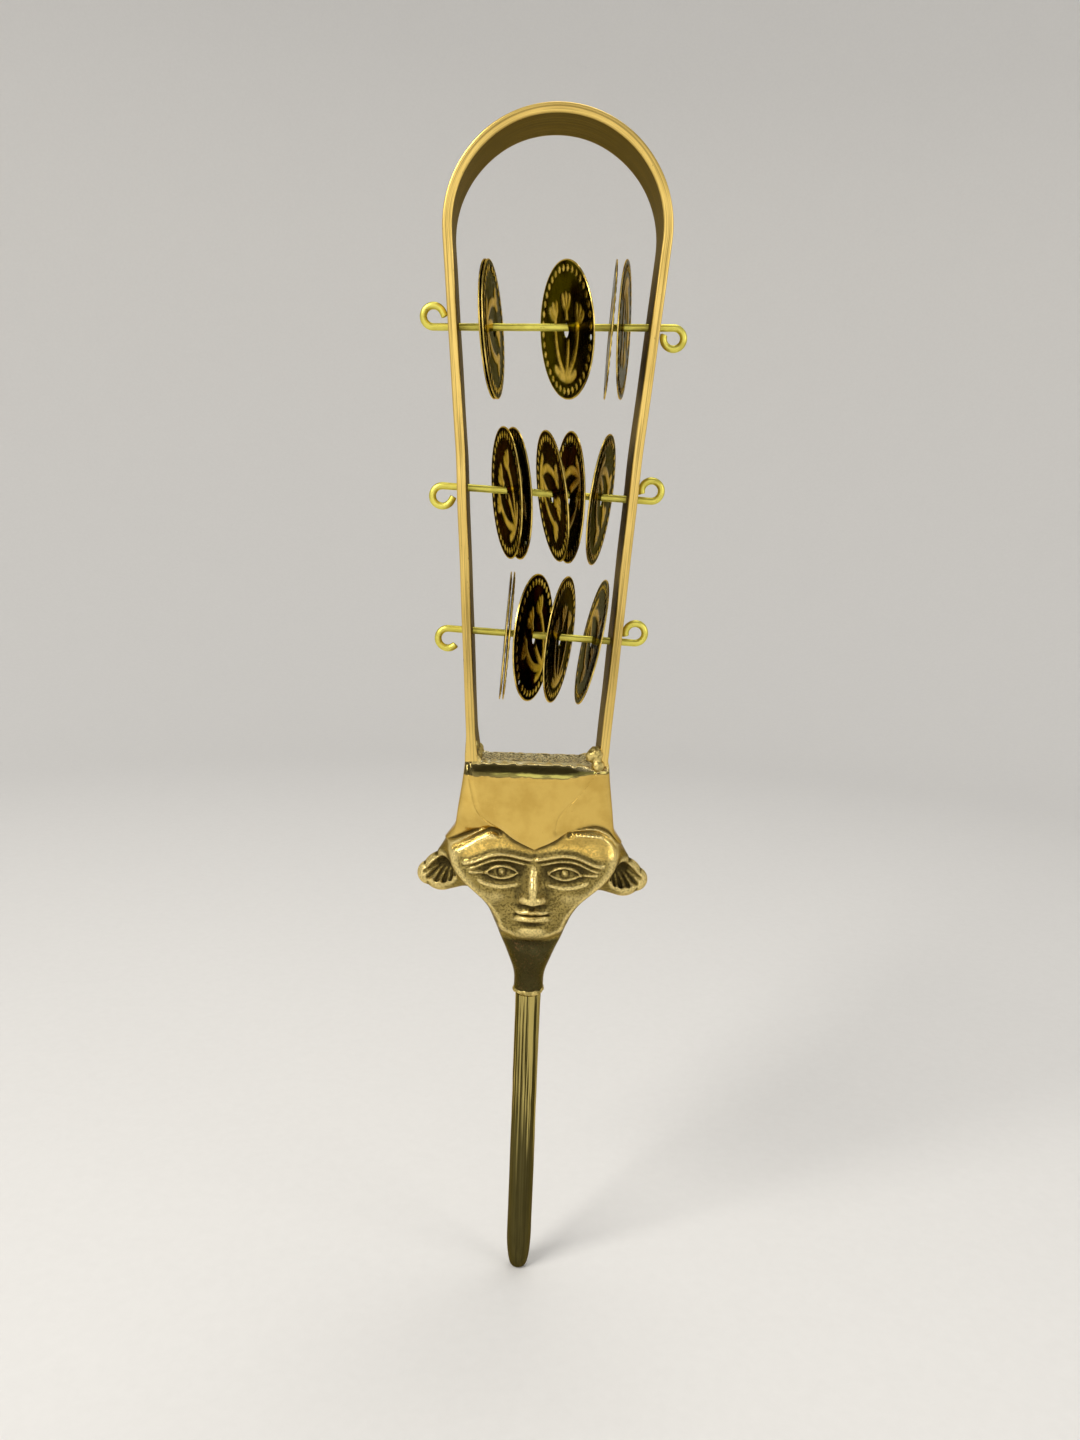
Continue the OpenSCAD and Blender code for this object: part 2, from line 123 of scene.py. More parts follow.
def along_axis(vector, axis):
    """One part of a vector: 0 for across, 1 for front to back and 2 for up."""
    return vector.node("SeparateXYZ", sockets={0: vector}, output=axis)


def grain(spot, scale, detail=4.0, rough=0.55, lean=0.0):
    """Noise from 0 to 1 over a place, with grains of about one over the scale along each axis."""
    place = spot.node("Mapping", sockets={"Vector": spot, "Scale": scale, "Rotation": (0, lean, 0)})
    sockets = {"Vector": place, "Scale": 1.0, "Detail": detail, "Roughness": rough}
    return spot.node("TexNoise", sockets=sockets)


def rise(value, low, high):
    """0 below low, 1 above high, with a smooth step between them."""
    sockets = {"Value": value, "From Min": low, "From Max": high}
    return value.node("MapRange", {"interpolation_type": "SMOOTHSTEP"}, sockets)


def blend(share, colour, other):
    """A colour that goes over to the other one as the share rises from 0 to 1."""
    return share.node("Mix", {"data_type": "RGBA"}, {0: share, 6: colour, 7: other}, 2)


def brass(name, paint, glance=(0.8, 0.66, 0.42, 1)):
    """A brass finish: paint gets the place and gives colour, roughness and height, in millimetres.
    The glance colour tints what the metal mirrors at a low angle."""
    made = bpy.data.materials.new(name)
    made.use_nodes = True
    tree = made.node_tree
    metal = tree.nodes["Principled BSDF"]
    metal.inputs["Metallic"].default_value = 1.0
    metal.inputs["Specular Tint"].default_value = glance
    start = Shade(tree)
    colour, roughness, height = paint(spot_on(start))
    tree.links.new(colour.socket, metal.inputs["Base Color"])
    tree.links.new(roughness.socket, metal.inputs["Roughness"])
    bump = start.node("Bump", sockets={"Strength": 1.0, "Distance": MM, "Height": height})
    tree.links.new(bump.socket, metal.inputs["Normal"])
    return made


def lumps(points, size, seed):
    """Smooth unevenness of about -1 to 1 with swells of that size in millimetres."""
    draw = np.random.default_rng(seed)
    waves = draw.normal(size=(10, 3))
    waves *= 2 * np.pi / size / np.linalg.norm(waves, axis=1)[:, None]
    return np.sin(points @ waves.T + draw.uniform(0, 2 * np.pi, 10)).mean(axis=1) * 2


def loft(rings):
    """Points and faces of a skin over closed rings, all of one count, with a face over each end."""
    n, last = len(rings[0]), len(rings) - 1
    faces = [
        (k * n + i, k * n + (i + 1) % n, (k + 1) * n + (i + 1) % n, (k + 1) * n + i)
        for k in range(last)
        for i in range(n)
    ]
    faces += [tuple(range(n - 1, -1, -1)), tuple(range(last * n, last * n + n))]
    return np.concatenate(rings), faces


def turned(profile):
    """Points and faces of a form turned about the upright axis, from (radius, height) along its outline."""
    rings = [
        np.stack([r * np.cos(ROUND), r * np.sin(ROUND), np.full(len(ROUND), z)], axis=1) for r, z in profile
    ]
    return loft(rings)


def mesh_of(name, points, faces, sharp=40):
    """A smooth mesh over points in millimetres, creased where it turns by more than the sharp angle."""
    mesh = bpy.data.meshes.new(name)
    mesh.from_pydata((np.asarray(points) * MM).tolist(), [], np.asarray(faces, object).tolist())
    mesh.shade_smooth()
    mesh.set_sharp_from_angle(angle=math.radians(sharp))
    return mesh


def put(name, data):
    """Puts a mesh, lamp or camera into the scene."""
    made = bpy.data.objects.new(name, data)
    bpy.context.scene.collection.objects.link(made)
    return made


def stand_in(mesh, node, material):
    """Puts a mesh into the scene in place of a CAD node, on that node's body."""
    mesh.materials.append(material)
    piece = put(mesh.name, mesh)
    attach(piece, frame["nodes"][node]["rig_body"])
    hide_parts(node)


def bar_finish(spot):
    """Bright lengthwise streaks on the upper bar, which end in tongues above the dull, darker tip; every
    tone is kept dark as a painted dark reflection.
    """
    streak = grain(spot, (1.5, 1.5, 0.012), 3.0)
    hair = grain(spot, (7.0, 7.0, 0.05), 2.0)
    cloud = grain(spot, (0.12, 0.12, 0.05))
    tongue = grain(spot, (0.7, 0.7, 0.02), 2.0)
    shine = rise(along_axis(spot, 2) + 60 * tongue, 22, 44)
    bright = blend(rise(streak, 0.44, 0.57), STREAK_DARK, STREAK_BRIGHT)
    matt = blend(rise(streak + 0.4 * cloud, 0.5, 0.9), MATT_DARK, MATT_LIGHT)
    colour = blend(shine, matt, bright)
    roughness = 0.44 - 0.26 * shine + 0.12 * hair
    return colour, roughness, 0.025 * hair + 0.03 * streak


bar_profile = [(0.05, BAR_TIP), (1.2, BAR_TIP + 0.02), (1.75, BAR_TIP + 0.12)]
for taper in np.radians(np.linspace(0, 90, 20)):
    taper_r = BAR_TIP_R + (BAR_R - BAR_TIP_R) * math.sin(taper)
    taper_z = BAR_TIP + BAR_TIP_ROUND + (BAR_TAPER - BAR_TIP_ROUND) * (1 - math.cos(taper))
    bar_profile.append((taper_r, taper_z))
bar_seat = BAR_TOP - BAR_SEAT_LEN
bar_profile += [(BAR_R, z) for z in np.arange(BAR_TIP + BAR_TAPER + 1, bar_seat - 0.5, 1.0)]
bar_profile += [(BAR_R, bar_seat), (BAR_SEAT_R, bar_seat + 0.15), (BAR_SEAT_R, BAR_TOP)]
bar_points, bar_faces = turned(bar_profile)
# Slow swells from the drawing, and shallow flutes that fade out towards the tip and the braze.
bar_swell = 0.05 * lumps(bar_points, 22, 1) + 0.03 * lumps(bar_points, 7, 2) - 0.1
bar_turn = np.arctan2(bar_points[:, 1], bar_points[:, 0])
flutes = sum(np.sin(k * bar_turn + k * k + 0.01 * k * np.sin(bar_points[:, 2] / 9)) for k in (7, 12, 17))
bar_swell += 0.022 * flutes * np.clip((bar_points[:, 2] + 12) / 40, 0, 1)
bar_swell *= np.clip((BAR_TOP - 2 - bar_points[:, 2]) / 8, 0, 1)
bar_points[:, :2] *= (1 + bar_swell / BAR_R)[:, None]
bar_mesh = mesh_of("brass_handle", bar_points, bar_faces)
stand_in(bar_mesh, "handle_rod", brass("drawn_bar_brass", bar_finish))

# Head
# One brass casting, 71 mm across the ears: crown block with a ground top, face, two cow ears and neck.
# The crown's front and the raised parts are polished, and the hollows stay dark and pitted as cast.
SHOULDER = 122.25
CROWN_FRONT = 10.8
BEVEL_TALL = 3.9
BEVEL_DEEP = 1.5
EYE_X = 9.4
EYE_Z = 89.2
EYE_HALF = 4.7
UPPER_LID = 1.95
LOWER_LID = 1.55
IRIS_R = 1.3
BROW_Z = 93.4
NOSE_Z = 80.4
NOSE_OUT = 4.6
NOSTRIL_X = 2.75
CHEEK_X = 10.5
MOUTH_Z = 76.3
MOUTH_HALF = 4.4
CHIN_Z = 70.9
BAND_BEADS = 8
BAND_BEAD_X = 11.4
BAND_BEAD_Z = 101.2
BAND_BEAD_STEP = 1.25
# An ear, as (across, height, radius, half depth) along it, and the arm that comes down to it from the brow.
EAR_ROOT = (20.8, 87.8, 6.2, 6)
EAR_MIDDLE = (27.9, 85.65, 6.1, 5)
EAR_TIP = (31.7, 85.0, 3.85, 3.4)
EAR_ARM = ((19, 98.3, 3.7, 5), (27, 90.9, 2.5, 4))
EAR_CUP = ((28.0, 87.2, 4.5, 4.2), (32.0, 85.8, 2.8, 2.9))
EAR_CUP_FRONT = 5.3
EAR_FAN_X = 24.5
EAR_FAN_Z = 91.5
EAR_RIDGES = 26
# By height, above a round neck: half the head's width, its depth to the front and to the back,
# how square it is, and how far the jaw draws in.
NECK = [(BAR_TOP, 4.6), (53.2, 4.7), (61.85, 7.5)]
HEAD_HALF = NECK + [
    (68.25, 10.5), (78.7, 16), (86.2, 23.2), (94.35, 26), (102.25, 23.7), (108, 22.9), (114, 22.2),
    (120.0, 21.65), (SHOULDER, 21.5),
]
HEAD_FRONT = NECK + [
    (66.9, 8.4), (68.6, 10.7), (70.6, 11.4), (78.7, 12.2), (86.2, 12.4), (94.35, 11.7), (98, 10.8),
    (103, 10.1), (SHOULDER, 10.1),
]
HEAD_BACK = NECK + [(68.25, 8.4), (86.2, 10.4), (102.25, 10.8), (SHOULDER, 10.8)]
HEAD_SQUARE = [
    (BAR_TOP, 2), (52, 2.3), (58, 3), (66, 3.4), (69, 5), (72, 9), (78.7, 11), (86.2, 10), (92, 7),
    (96, 5.5), (100, 6), (104, 9), (112, 13), (SHOULDER, 14),
]
JAW_INSET = [(62, 0), (66, 0.4), (70, 1.8), (78, 2.6), (84, 2.2), (90, 0.6), (94, 0), (123, 0)]
# The creases between the crown's front and its side facets, as (height, across).
CREASE_LEFT = [
    (96.3, 0), (99.2, 6), (102.2, 10.4), (105, 14.8), (107.5, 17), (112, 18.5), (120, 20.3),
    (SHOULDER, 20.8),
]
CREASE_RIGHT = [
    (96.3, 0), (99.2, 5.4), (103, 6.0), (107.5, 7.4), (111.6, 11.0), (118, 15.8), (SHOULDER, 18.6),
]
# The upper edge of the headband, as (across, height).
BAND_LEFT = [
    (0, 96.3), (6, 99.2), (10.4, 102.2), (12.5, 102.9), (16, 101.8), (20, 99.6), (24, 97.6), (32, 95),
]
BAND_RIGHT = [
    (0, 96.3), (6, 99.2), (10.4, 102), (13, 102.6), (20, 102.3), (22.5, 100.8), (25, 98), (32, 95),
]
POLISHED = (0.73, 0.5, 0.125, 1)
POLISHED_DEEP = (0.62, 0.41, 0.092, 1)
CAST_LIGHT = (0.42, 0.32, 0.098, 1)
CAST_DARK = (0.28, 0.21, 0.06, 1)
CAST_PIT = (0.09, 0.066, 0.02, 1)
CAST_HOLLOW = (0.05, 0.038, 0.014, 1)
# Painted dark reflection for the neck and jaw walls, and a painted sheen for the neck; the red is a real
# stain.
PAINTED_DARK_REFLECTION = (0.036, 0.031, 0.011, 1)
NECK_PAINTED_SHEEN = (0.085, 0.08, 0.032, 1)
NECK_RED = (0.22, 0.12, 0.05, 1)
# Painted dark reflection and painted highlight for the crown's top front bevel.
BEVEL_DARK_REFLECTION = (0.045, 0.04, 0.014, 1)
BEVEL_HIGHLIGHT = (0.5, 0.46, 0.12, 1)
CHIP_DARK = (0.06, 0.05, 0.018, 1)
CHIP_BRIGHT = (0.95, 0.87, 0.55, 1)
BURR_BRIGHT = (0.97, 0.88, 0.56, 1)
RUBBED = (0.84, 0.67, 0.27, 1)
HEAD_CELL = 0.32


def through(places, at):
    """A smooth line through (place, value) points."""
    x, y = np.array(places, float).T
    slope = np.gradient(y, x)
    i = np.clip(np.searchsorted(x, at) - 1, 0, len(x) - 2)
    d = x[i + 1] - x[i]
    t = np.clip((at - x[i]) / d, 0, 1)
    value = y[i] * (2 * t**3 - 3 * t**2 + 1) + y[i + 1] * (3 * t**2 - 2 * t**3)
    return value + d * (slope[i] * (t**3 - 2 * t**2 + t) + slope[i + 1] * (t**3 - t**2))


def bell(offset, width):
    """1 at no offset, falling off to both sides over the width."""
    return np.exp(-((offset / width) ** 2))


def step(value, low, high):
    """0 at low and 1 at high, with a smooth step between them."""
    t = np.clip((value - low) / (high - low), 0, 1)
    return t * t * (3 - 2 * t)


def stretch(value, low, high, soft):
    """1 between low and high, fading to 0 over the soft width outside them."""
    return step(value, low - soft, low) * (1 - step(value, high, high + soft))


def meet(a, b, soft):
    """The larger of two fields, rounded over where they cross."""
    h = np.clip(0.5 + 0.5 * (a - b) / soft, 0, 1)
    return b + (a - b) * h + soft * h * (1 - h)


def band_line(x):
    """Height of the headband's upper edge: low at the middle, high over the eyes, low at the ears."""
    return np.where(x < 0, through(BAND_LEFT, np.abs(x)), through(BAND_RIGHT, np.abs(x)))


def above_band(x, z):
    """1 on the crown, 0 on the face below the headband's edge."""
    return step(z - band_line(x), -0.25, 0.3)


def brow_line(s):
    """Height of the brow at a distance out from the middle."""
    return BROW_Z + 1.5 * bell(s - EYE_X, 6) - 1.6 * step(s, 12, 21)


def face_relief(x, z):
    """How far the face and the crown's edge stand out, with s the distance out from the middle."""
    s = np.abs(x)
    # The recess under the headband's edge, with a row of small beads on the right.
    line = band_line(x)
    recess = np.where(x < 0, -1.0 * bell(z - line + 1.3, 1.1), -0.75 * bell(z - line + 0.9, 0.75))
    out = recess * stretch(s, 11, 24, 2)
    for k in range(BAND_BEADS):
        out += 0.6 * bell(np.hypot(x - BAND_BEAD_X - BAND_BEAD_STEP * k, z - BAND_BEAD_Z + 0.1 * k), 0.5)
    # Brows, and the sockets of the eyes under them.
    brow = brow_line(s)
    out += 1.05 * bell(z - brow, 0.7) * stretch(s, 1.6, 19.5, 2.5)
    out += 0.55 * bell(z - brow + 1.8, 0.5) * stretch(s, 3.5, 18, 3)
    out -= 1.9 * bell(s - 8.8, 6.2) * bell(z - EYE_Z - 0.4, 3.2)
    # Eyes: ball, rims, the line drawn out to the side, and the iris.
    across = (s - EYE_X) / EYE_HALF
    arch = np.clip(1 - across**2, 0, 1)
    upper = EYE_Z + UPPER_LID * arch**0.8
    lower = EYE_Z - LOWER_LID * arch**0.9
    eyeball = np.clip(arch - ((z - EYE_Z - 0.15) / 2.2) ** 2, 0, 1)
    out += 1.15 * np.sqrt(eyeball) * np.sqrt(arch + 1e-9)
    rim = stretch(np.abs(across), 0, 1, 0.12)
    out += 0.75 * bell(z - upper, 0.42) * rim + 0.6 * bell(z - lower, 0.42) * rim
    out += 0.5 * bell(z - EYE_Z + 0.1 - 0.02 * (s - 14), 0.45) * stretch(s, 14, 18.6, 1)
    iris = np.hypot(s - EYE_X, z - EYE_Z - 0.25)
    out += 0.3 * bell(iris, 0.6) - 0.3 * bell(iris - IRIS_R, 0.3)
    # Nose, with its wings and nostrils.
    down = step(z, BROW_Z + 1.5, NOSE_Z + 0.6)
    foot = step(z, NOSE_Z - 1.1, NOSE_Z + 0.7)
    out += foot * NOSE_OUT * down * bell(x, 1.7 + 1.0 * down)
    out += foot * 1.7 * bell(s - NOSTRIL_X, 1.2) * bell(z - NOSE_Z - 1.3, 1.5)
    out -= 0.7 * bell(s - 1.6, 0.6) * bell(z - NOSE_Z + 0.4, 0.6)
    # Cheeks, and the fold under each eye.
    out += 0.9 * bell(s - CHEEK_X, 5) * bell(z - NOSE_Z - 2, 4)
    out += 0.55 * bell(z - EYE_Z + 3.9 - 0.03 * (s - EYE_X) ** 2, 0.75) * stretch(s, 5.5, 15, 2.5)
    # Mouth and chin.
    out += 0.8 * bell(x, 6) * bell(z - MOUTH_Z, 3.6)
    bow = MOUTH_Z + 1.05 + 0.25 * bell(s - 1.1, 0.9)
    out += 1.05 * bell(x, 4.2) * bell(z - bow, 0.75) + 1.25 * bell(x, 3.7) * bell(z - MOUTH_Z + 1.15, 0.85)
    out -= 0.75 * bell(z - MOUTH_Z - 0.012 * x * x, 0.26) * stretch(s, 0, MOUTH_HALF, 0.8)
    out -= 0.4 * bell(s - 5, 0.8) * bell(z - MOUTH_Z - 0.25, 0.8)
    under_lip = 0.45 * bell(x, 3.4) * bell(z - MOUTH_Z + 3.1, 0.9)
    over_lip = 0.2 * bell(x, 0.7) * stretch(z, 78.2, 79.4, 0.6)
    out -= under_lip + over_lip
    return out + 1.5 * bell(x, 4.6) * bell(z - CHIN_Z, 2.2)


def limb(s, y, z, a, b):
    """A field round a line from a to b, each (across, height, radius, half depth)."""
    a, b = np.array(a), np.array(b)
    way = (b - a)[:2]
    t = np.clip(((s - a[0]) * way[0] + (z - a[1]) * way[1]) / (way @ way), 0, 1)
    c = a[:, None] + (b - a)[:, None] * t
    return np.sqrt((s - c[0]) ** 2 + (z - c[1]) ** 2 + (y * c[2] / c[3]) ** 2) - c[2]


def head_field(points):
    """Below 0 inside the head, and about the distance in millimetres near its skin."""
    x, y, z = points.T
    s = np.abs(x)
    # The block, its bevelled top edges and the crown's facets.
    half, back, p = (through(table, z) for table in (HEAD_HALF, HEAD_BACK, HEAD_SQUARE))
    front = through(HEAD_FRONT, z - 0.03 * s * s * stretch(z, 62, 74, 5))
    back = back - BEVEL_DEEP * np.clip(1 - (SHOULDER - z) / BEVEL_TALL, 0, 1) ** 1.4
    p = np.where(y < 0, p, np.minimum(p, 4 + 10 * step(z, 98, 106)))
    below = SHOULDER - z
    tall = BEVEL_TALL - 1.6 * step(x, 8, 16)
    crease = np.where(x < 0, through(CREASE_LEFT, z), through(CREASE_RIGHT, z))
    past = np.clip(s - crease, 0, np.clip(half - crease, 0.5, None))
    crown = CROWN_FRONT + 0.03 * below - np.where(x < 0, 0.3, 0.26) * past
    crown -= np.where(x < 0, 0.32, 0.28) * bell(s - crease, 0.5) * step(z, 100, 104)
    crown -= BEVEL_DEEP * np.clip(1 - below / tall, 0, 1) ** 1.4 - 0.1 * bell(below - tall - 0.3, 0.4)
    front = front + (crown - front) * above_band(x, z)
    inset = through(JAW_INSET, z)
    jaw = half - inset
    half = half - inset * np.clip(-y / front, 0, 1)
    # The face, which fades out at the head's sides.
    ahead = np.clip(-y / (0.45 * front), 0, 1)
    fade = np.sqrt(np.clip(1 - (s / half) ** 8, 0, 1))
    lip = 0.25 * bell(jaw - s - 0.9, 0.6) * stretch(z, 71, 87, 2)
    relief = (face_relief(x, z) * fade + lip) * ahead
    deep = np.where(y < 0, np.clip(-y - relief, 0, None) / front, y / back)
    field = ((s / half) ** p + deep**p) ** (1 / p)
    field = (field - 1) * np.minimum(half, front)
    # The ears, each with ridges that fan out in its cup.
    ear = limb(s, y, z, EAR_ROOT, EAR_MIDDLE)
    ear = np.minimum(ear, limb(s, y, z, EAR_MIDDLE, EAR_TIP))
    ear = np.minimum(ear, limb(s, y, z, *EAR_ARM))
    field = -meet(-field, -ear, 3.0)
    fan_s, fan_z = s - EAR_FAN_X, z - EAR_FAN_Z
    fan = np.arctan2(fan_z, fan_s)
    ridge = 0.26 * np.sin(fan * EAR_RIDGES) * step(z, 88.5, 86) * step(np.hypot(fan_s, fan_z), 2, 4)
    cup = limb(s, y + EAR_CUP_FRONT, z, *EAR_CUP)
    field = meet(field, -cup - ridge, 0.4)
    # The ground top: rough, worn down at its front edge and sunk a little behind.
    worn = 0.3 + 0.35 * lumps(points, 2.4, 6) + 0.3 * lumps(points, 6, 7)
    top = z - SHOULDER - 0.16 * lumps(points, 2.2, 5) + np.clip(worn, 0, None) * step(-y, 7, 9.6)
    top += 1.1 * step(x, 12.5, 18.5) * step(-y, 5, 10)
    top += 0.7 * step(y, -7, 8) * stretch(x, -15.5, 13, 2)
    field = meet(field, top, 0.25)
    return np.maximum(field, BAR_TOP - z)


def steepest(field, points, value):
    """The direction and rate in which a field rises at points."""
    nudge = 0.02
    return np.stack([field(points + nudge * e) - value for e in np.eye(3)], axis=1) / nudge


def grid_values(field, low, high, cell):
    """A field's values at the corners of a grid of cells, exact near the skin and rough away from it."""
    coarse = 4
    reach = 2.2
    sizes = [int(math.ceil((b - a) / cell / coarse)) * coarse for a, b in zip(low, high)]
    rough = np.stack(np.meshgrid(*[np.arange(0, n + 1, coarse) for n in sizes], indexing="ij"), -1)
    far = field(rough.reshape(-1, 3) * cell + low).reshape(rough.shape[:3])
    spread = far.repeat(coarse, 0).repeat(coarse, 1).repeat(coarse, 2)
    values = spread[: sizes[0] + 1, : sizes[1] + 1, : sizes[2] + 1].copy()
    near = np.argwhere(np.abs(values) < coarse * cell * reach)
    values[tuple(near.T)] = field(near * cell + low)
    return values


def join_corners(inside):
    """Joins inside corners that meet only across a cell face's diagonal, so that no edge has four faces."""
    for _ in range(3):
        for u, v in ((0, 1), (1, 2), (2, 0)):
            sides = np.moveaxis(inside, (u, v), (0, 1))
            first, second = sides[:-1], sides[1:]
            crossed = (first[:, :-1] == second[:, 1:]) & (second[:, :-1] == first[:, 1:])
            crossed &= first[:, :-1] != second[:, :-1]
            first[:, :-1] |= crossed
            second[:, :-1] |= crossed


def cell_points(values, cells, corners):
    """A point in each cell, in the middle of where the skin cuts the cell's edges."""
    total, crossings = np.zeros((len(cells), 3)), np.zeros(len(cells))
    for a in corners:
        for axis in range(3):
            if a[axis] == 0:
                b = tuple(1 if i == axis else a[i] for i in range(3))
                va, vb = (values[tuple((cells + c).T)] for c in (a, b))
                cuts = (va < 0) != (vb < 0)
                share = np.where(cuts, va / np.where(cuts, va - vb, 1), 0)
                total += cuts[:, None] * (np.array(a) + share[:, None] * (np.array(b) - np.array(a)))
                crossings += cuts
    return cells + total / crossings[:, None]


def cell_quads(inside, number):
    """A face round each grid edge that the skin cuts, between the points of the four cells there."""
    quads = []
    for axis in range(3):
        u, v = (axis + 1) % 3, (axis + 2) % 3
        ends = [slice(1, -1)] * 3
        ends[axis] = slice(0, -1)
        nexts = list(ends)
        nexts[axis] = slice(1, None)
        change = inside[tuple(ends)].astype(int) - inside[tuple(nexts)]
        edges = np.argwhere(change != 0)
        outward = change[tuple(edges.T)] > 0
        edges = edges + np.array([0 if i == axis else 1 for i in range(3)])
        ring = []
        for du, dv in ((0, 0), (-1, 0), (-1, -1), (0, -1)):
            place = edges.copy()
            place[:, u] += du
            place[:, v] += dv
            ring.append(number[tuple(place.T)])
        ring = np.stack(ring, axis=1)
        ring[~outward] = ring[~outward][:, ::-1]
        quads.append(ring)
    return np.concatenate(quads)


def skin(name, field, low, high, cell):
    """A mesh of the skin where a field is 0, found on a grid of cells, with the field's own normals."""
    values = grid_values(field, low, high, cell)
    inside = values < 0
    join_corners(inside)
    values = np.where(inside, np.minimum(values, -1e-6), values)
    corners = [(i, j, k) for i in (0, 1) for j in (0, 1) for k in (0, 1)]
    nx, ny, nz = (n - 1 for n in inside.shape)
    count = sum(inside[i: i + nx, j: j + ny, k: k + nz].astype(int) for i, j, k in corners)
    cells = np.argwhere((count > 0) & (count < len(corners)))
    number = np.full(count.shape, -1)
    number[tuple(cells.T)] = np.arange(len(cells))
    points = cell_points(values, cells, corners) * cell + low
    for _ in range(4):
        value = field(points)
        slope = steepest(field, points, value)
        away = np.clip(value / (slope**2).sum(axis=1).clip(0.05), -0.3, 0.3)
        points = points - away[:, None] * slope
    mesh = mesh_of(name, points, cell_quads(inside, number), 180)
    mesh.normals_split_custom_set_from_vertices(steepest(field, points, field(points)).tolist())
    return mesh


def stored(spot, name):
    """The value that mark() stored for each point under a name."""
    return spot.node("Attribute", {"attribute_name": name}, output=2)


def head_finish(spot):
    """Polish on the crown, rubbed ridges, dark pitted hollows, a reddish stain on the neck and a rough,
    chipped top, with painted shade and dark reflection on the neck, painted dark reflection on the jaw
    walls, a painted sheen on the neck, and a painted dark band with a painted highlight along the crown's
    top front bevel.
    """
    hollow, ridge, crown = (stored(spot, name) for name in ("hollow", "ridge", "crown"))
    across, inward, height_up = (along_axis(spot, i) for i in (0, 1, 2))
    facing = spot.node("TexCoord", output=1)
    backward, upward = (along_axis(facing, i) for i in (1, 2))
    pit = grain(spot, (1.6, 1.6, 1.6), 3.0)
    speck = grain(spot, (4.5, 4.5, 4.5), 2.0)
    cloud = grain(spot, (0.16, 0.16, 0.16))
    wave = grain(spot, (0.3, 0.02, 0.02), 2.0)
    wipe = grain(spot, (0.3, 1.0, 9.0), 3.0, lean=0.6) * grain(spot, (9.0, 1.0, 0.3), 3.0, lean=-0.4)
    pits = (1 - crown) * rise(pit + 0.25 * speck, 0.58, 0.74)
    behind = rise(backward, 0.1, 0.7)
    neck = 1 - rise(height_up + 8 * behind * cloud, 66.2 - 3 * behind, 67.8 + 11 * behind)
    # Painted dark reflection on the head's sides below the brow, where they turn away from the front, less
    # towards the back.
    wall = rise(backward, -0.6, -0.25) * (1 - rise(height_up, 94, 100)) * (1 - 0.8 * behind)
    ledge = rise(upward, 0.45, 0.75) * rise(height_up, 119.5, 120.5)
    sill = height_up - 1.6 * rise(across, 8, 16) + 1.4 * wave
    # Painted dark reflection along the crown's top front bevel, with a painted highlight (gleam) along its
    # foot, broken up by noise.
    bevel = rise(sill, 118.7, 119.1) * (1 - rise(backward, -0.4, -0.1)) * (1 - ledge)
    gleam = rise(sill, 118.9, 119.4) * (1 - rise(sill, 119.8, 120.6)) * rise(across + 16 * wave, -10, 4)
    gleam = gleam * (0.3 + 0.7 * rise(grain(spot, (0.16, 0.3, 0.9), 3.0), 0.42, 0.56))
    dark = rise(hollow, 0.08, 0.7)
    polished = blend(rise(cloud, 0.35, 0.7), POLISHED, POLISHED_DEEP)
    cast = blend(rise(cloud + 0.5 * speck, 0.55, 0.95), CAST_LIGHT, CAST_DARK)
    tone = blend(crown, cast, polished)
    tone = blend(pits * 0.75, tone, CAST_PIT)
    # Painted shade and dark reflection on the neck, and painted dark reflection on the jaw walls.
    tone = blend(neck * 0.93 + wall * 0.7 * (1 - neck), tone, PAINTED_DARK_REFLECTION)
    # Painted sheen: lighter patches on the neck.
    tone = blend(neck * rise(cloud + 0.02 * across, 0.46, 0.66) * 0.6, tone, NECK_PAINTED_SHEEN)
    # Painted dark band and painted highlight on the bevel.
    tone = blend(bevel * 0.95, tone, BEVEL_DARK_REFLECTION)
    tone = blend(bevel * gleam * 0.75, tone, BEVEL_HIGHLIGHT)
    tone = blend(neck * rise(pit + 0.3 * cloud, 0.7, 0.82) * 0.5, tone, NECK_RED)
    tone = blend(dark * (0.7 + 0.3 * speck), tone, CAST_HOLLOW)
    chips = blend(rise(pit + 0.3 * speck, 0.6, 0.7), CHIP_DARK, CHIP_BRIGHT)
    tone = blend(ledge, tone, chips)
    burr = ledge * (1 - rise(inward + 7 * pit, -4.2, -2.6))
    tone = blend(burr * 0.85, tone, BURR_BRIGHT)
    plain = rise(crown, 0.88, 0.98) * (1 - ledge)
    bare = rise(ridge, 0.12, 0.6) * (1 - neck) * (1 - 0.4 * pits) * (1 - 0.9 * plain)
    colour = blend(bare, tone, RUBBED)
    gloss = 0.09 + 0.19 * (1 - crown) * (1 - 0.7 * neck) + 0.22 * rise(wipe, 0.3, 0.42)
    roughness = gloss + 0.1 * pits + 0.25 * dark + 0.2 * ledge
    height = 0.015 * wipe - 0.1 * pits + 0.02 * speck * (1 - crown) + 0.25 * ledge * pit
    return colour, roughness, height


def spots_of(mesh):
    """The places of a mesh's points in millimetres."""
    spots = np.zeros(len(mesh.vertices) * 3)
    mesh.vertices.foreach_get("co", spots)
    return spots.reshape(-1, 3) / MM


def mark(mesh, name, values):
    """Stores a value for each point under a name that a finish can read."""
    layer = mesh.attributes.new(name, "FLOAT", "POINT")
    layer.data.foreach_set("value", values.astype(np.float32))


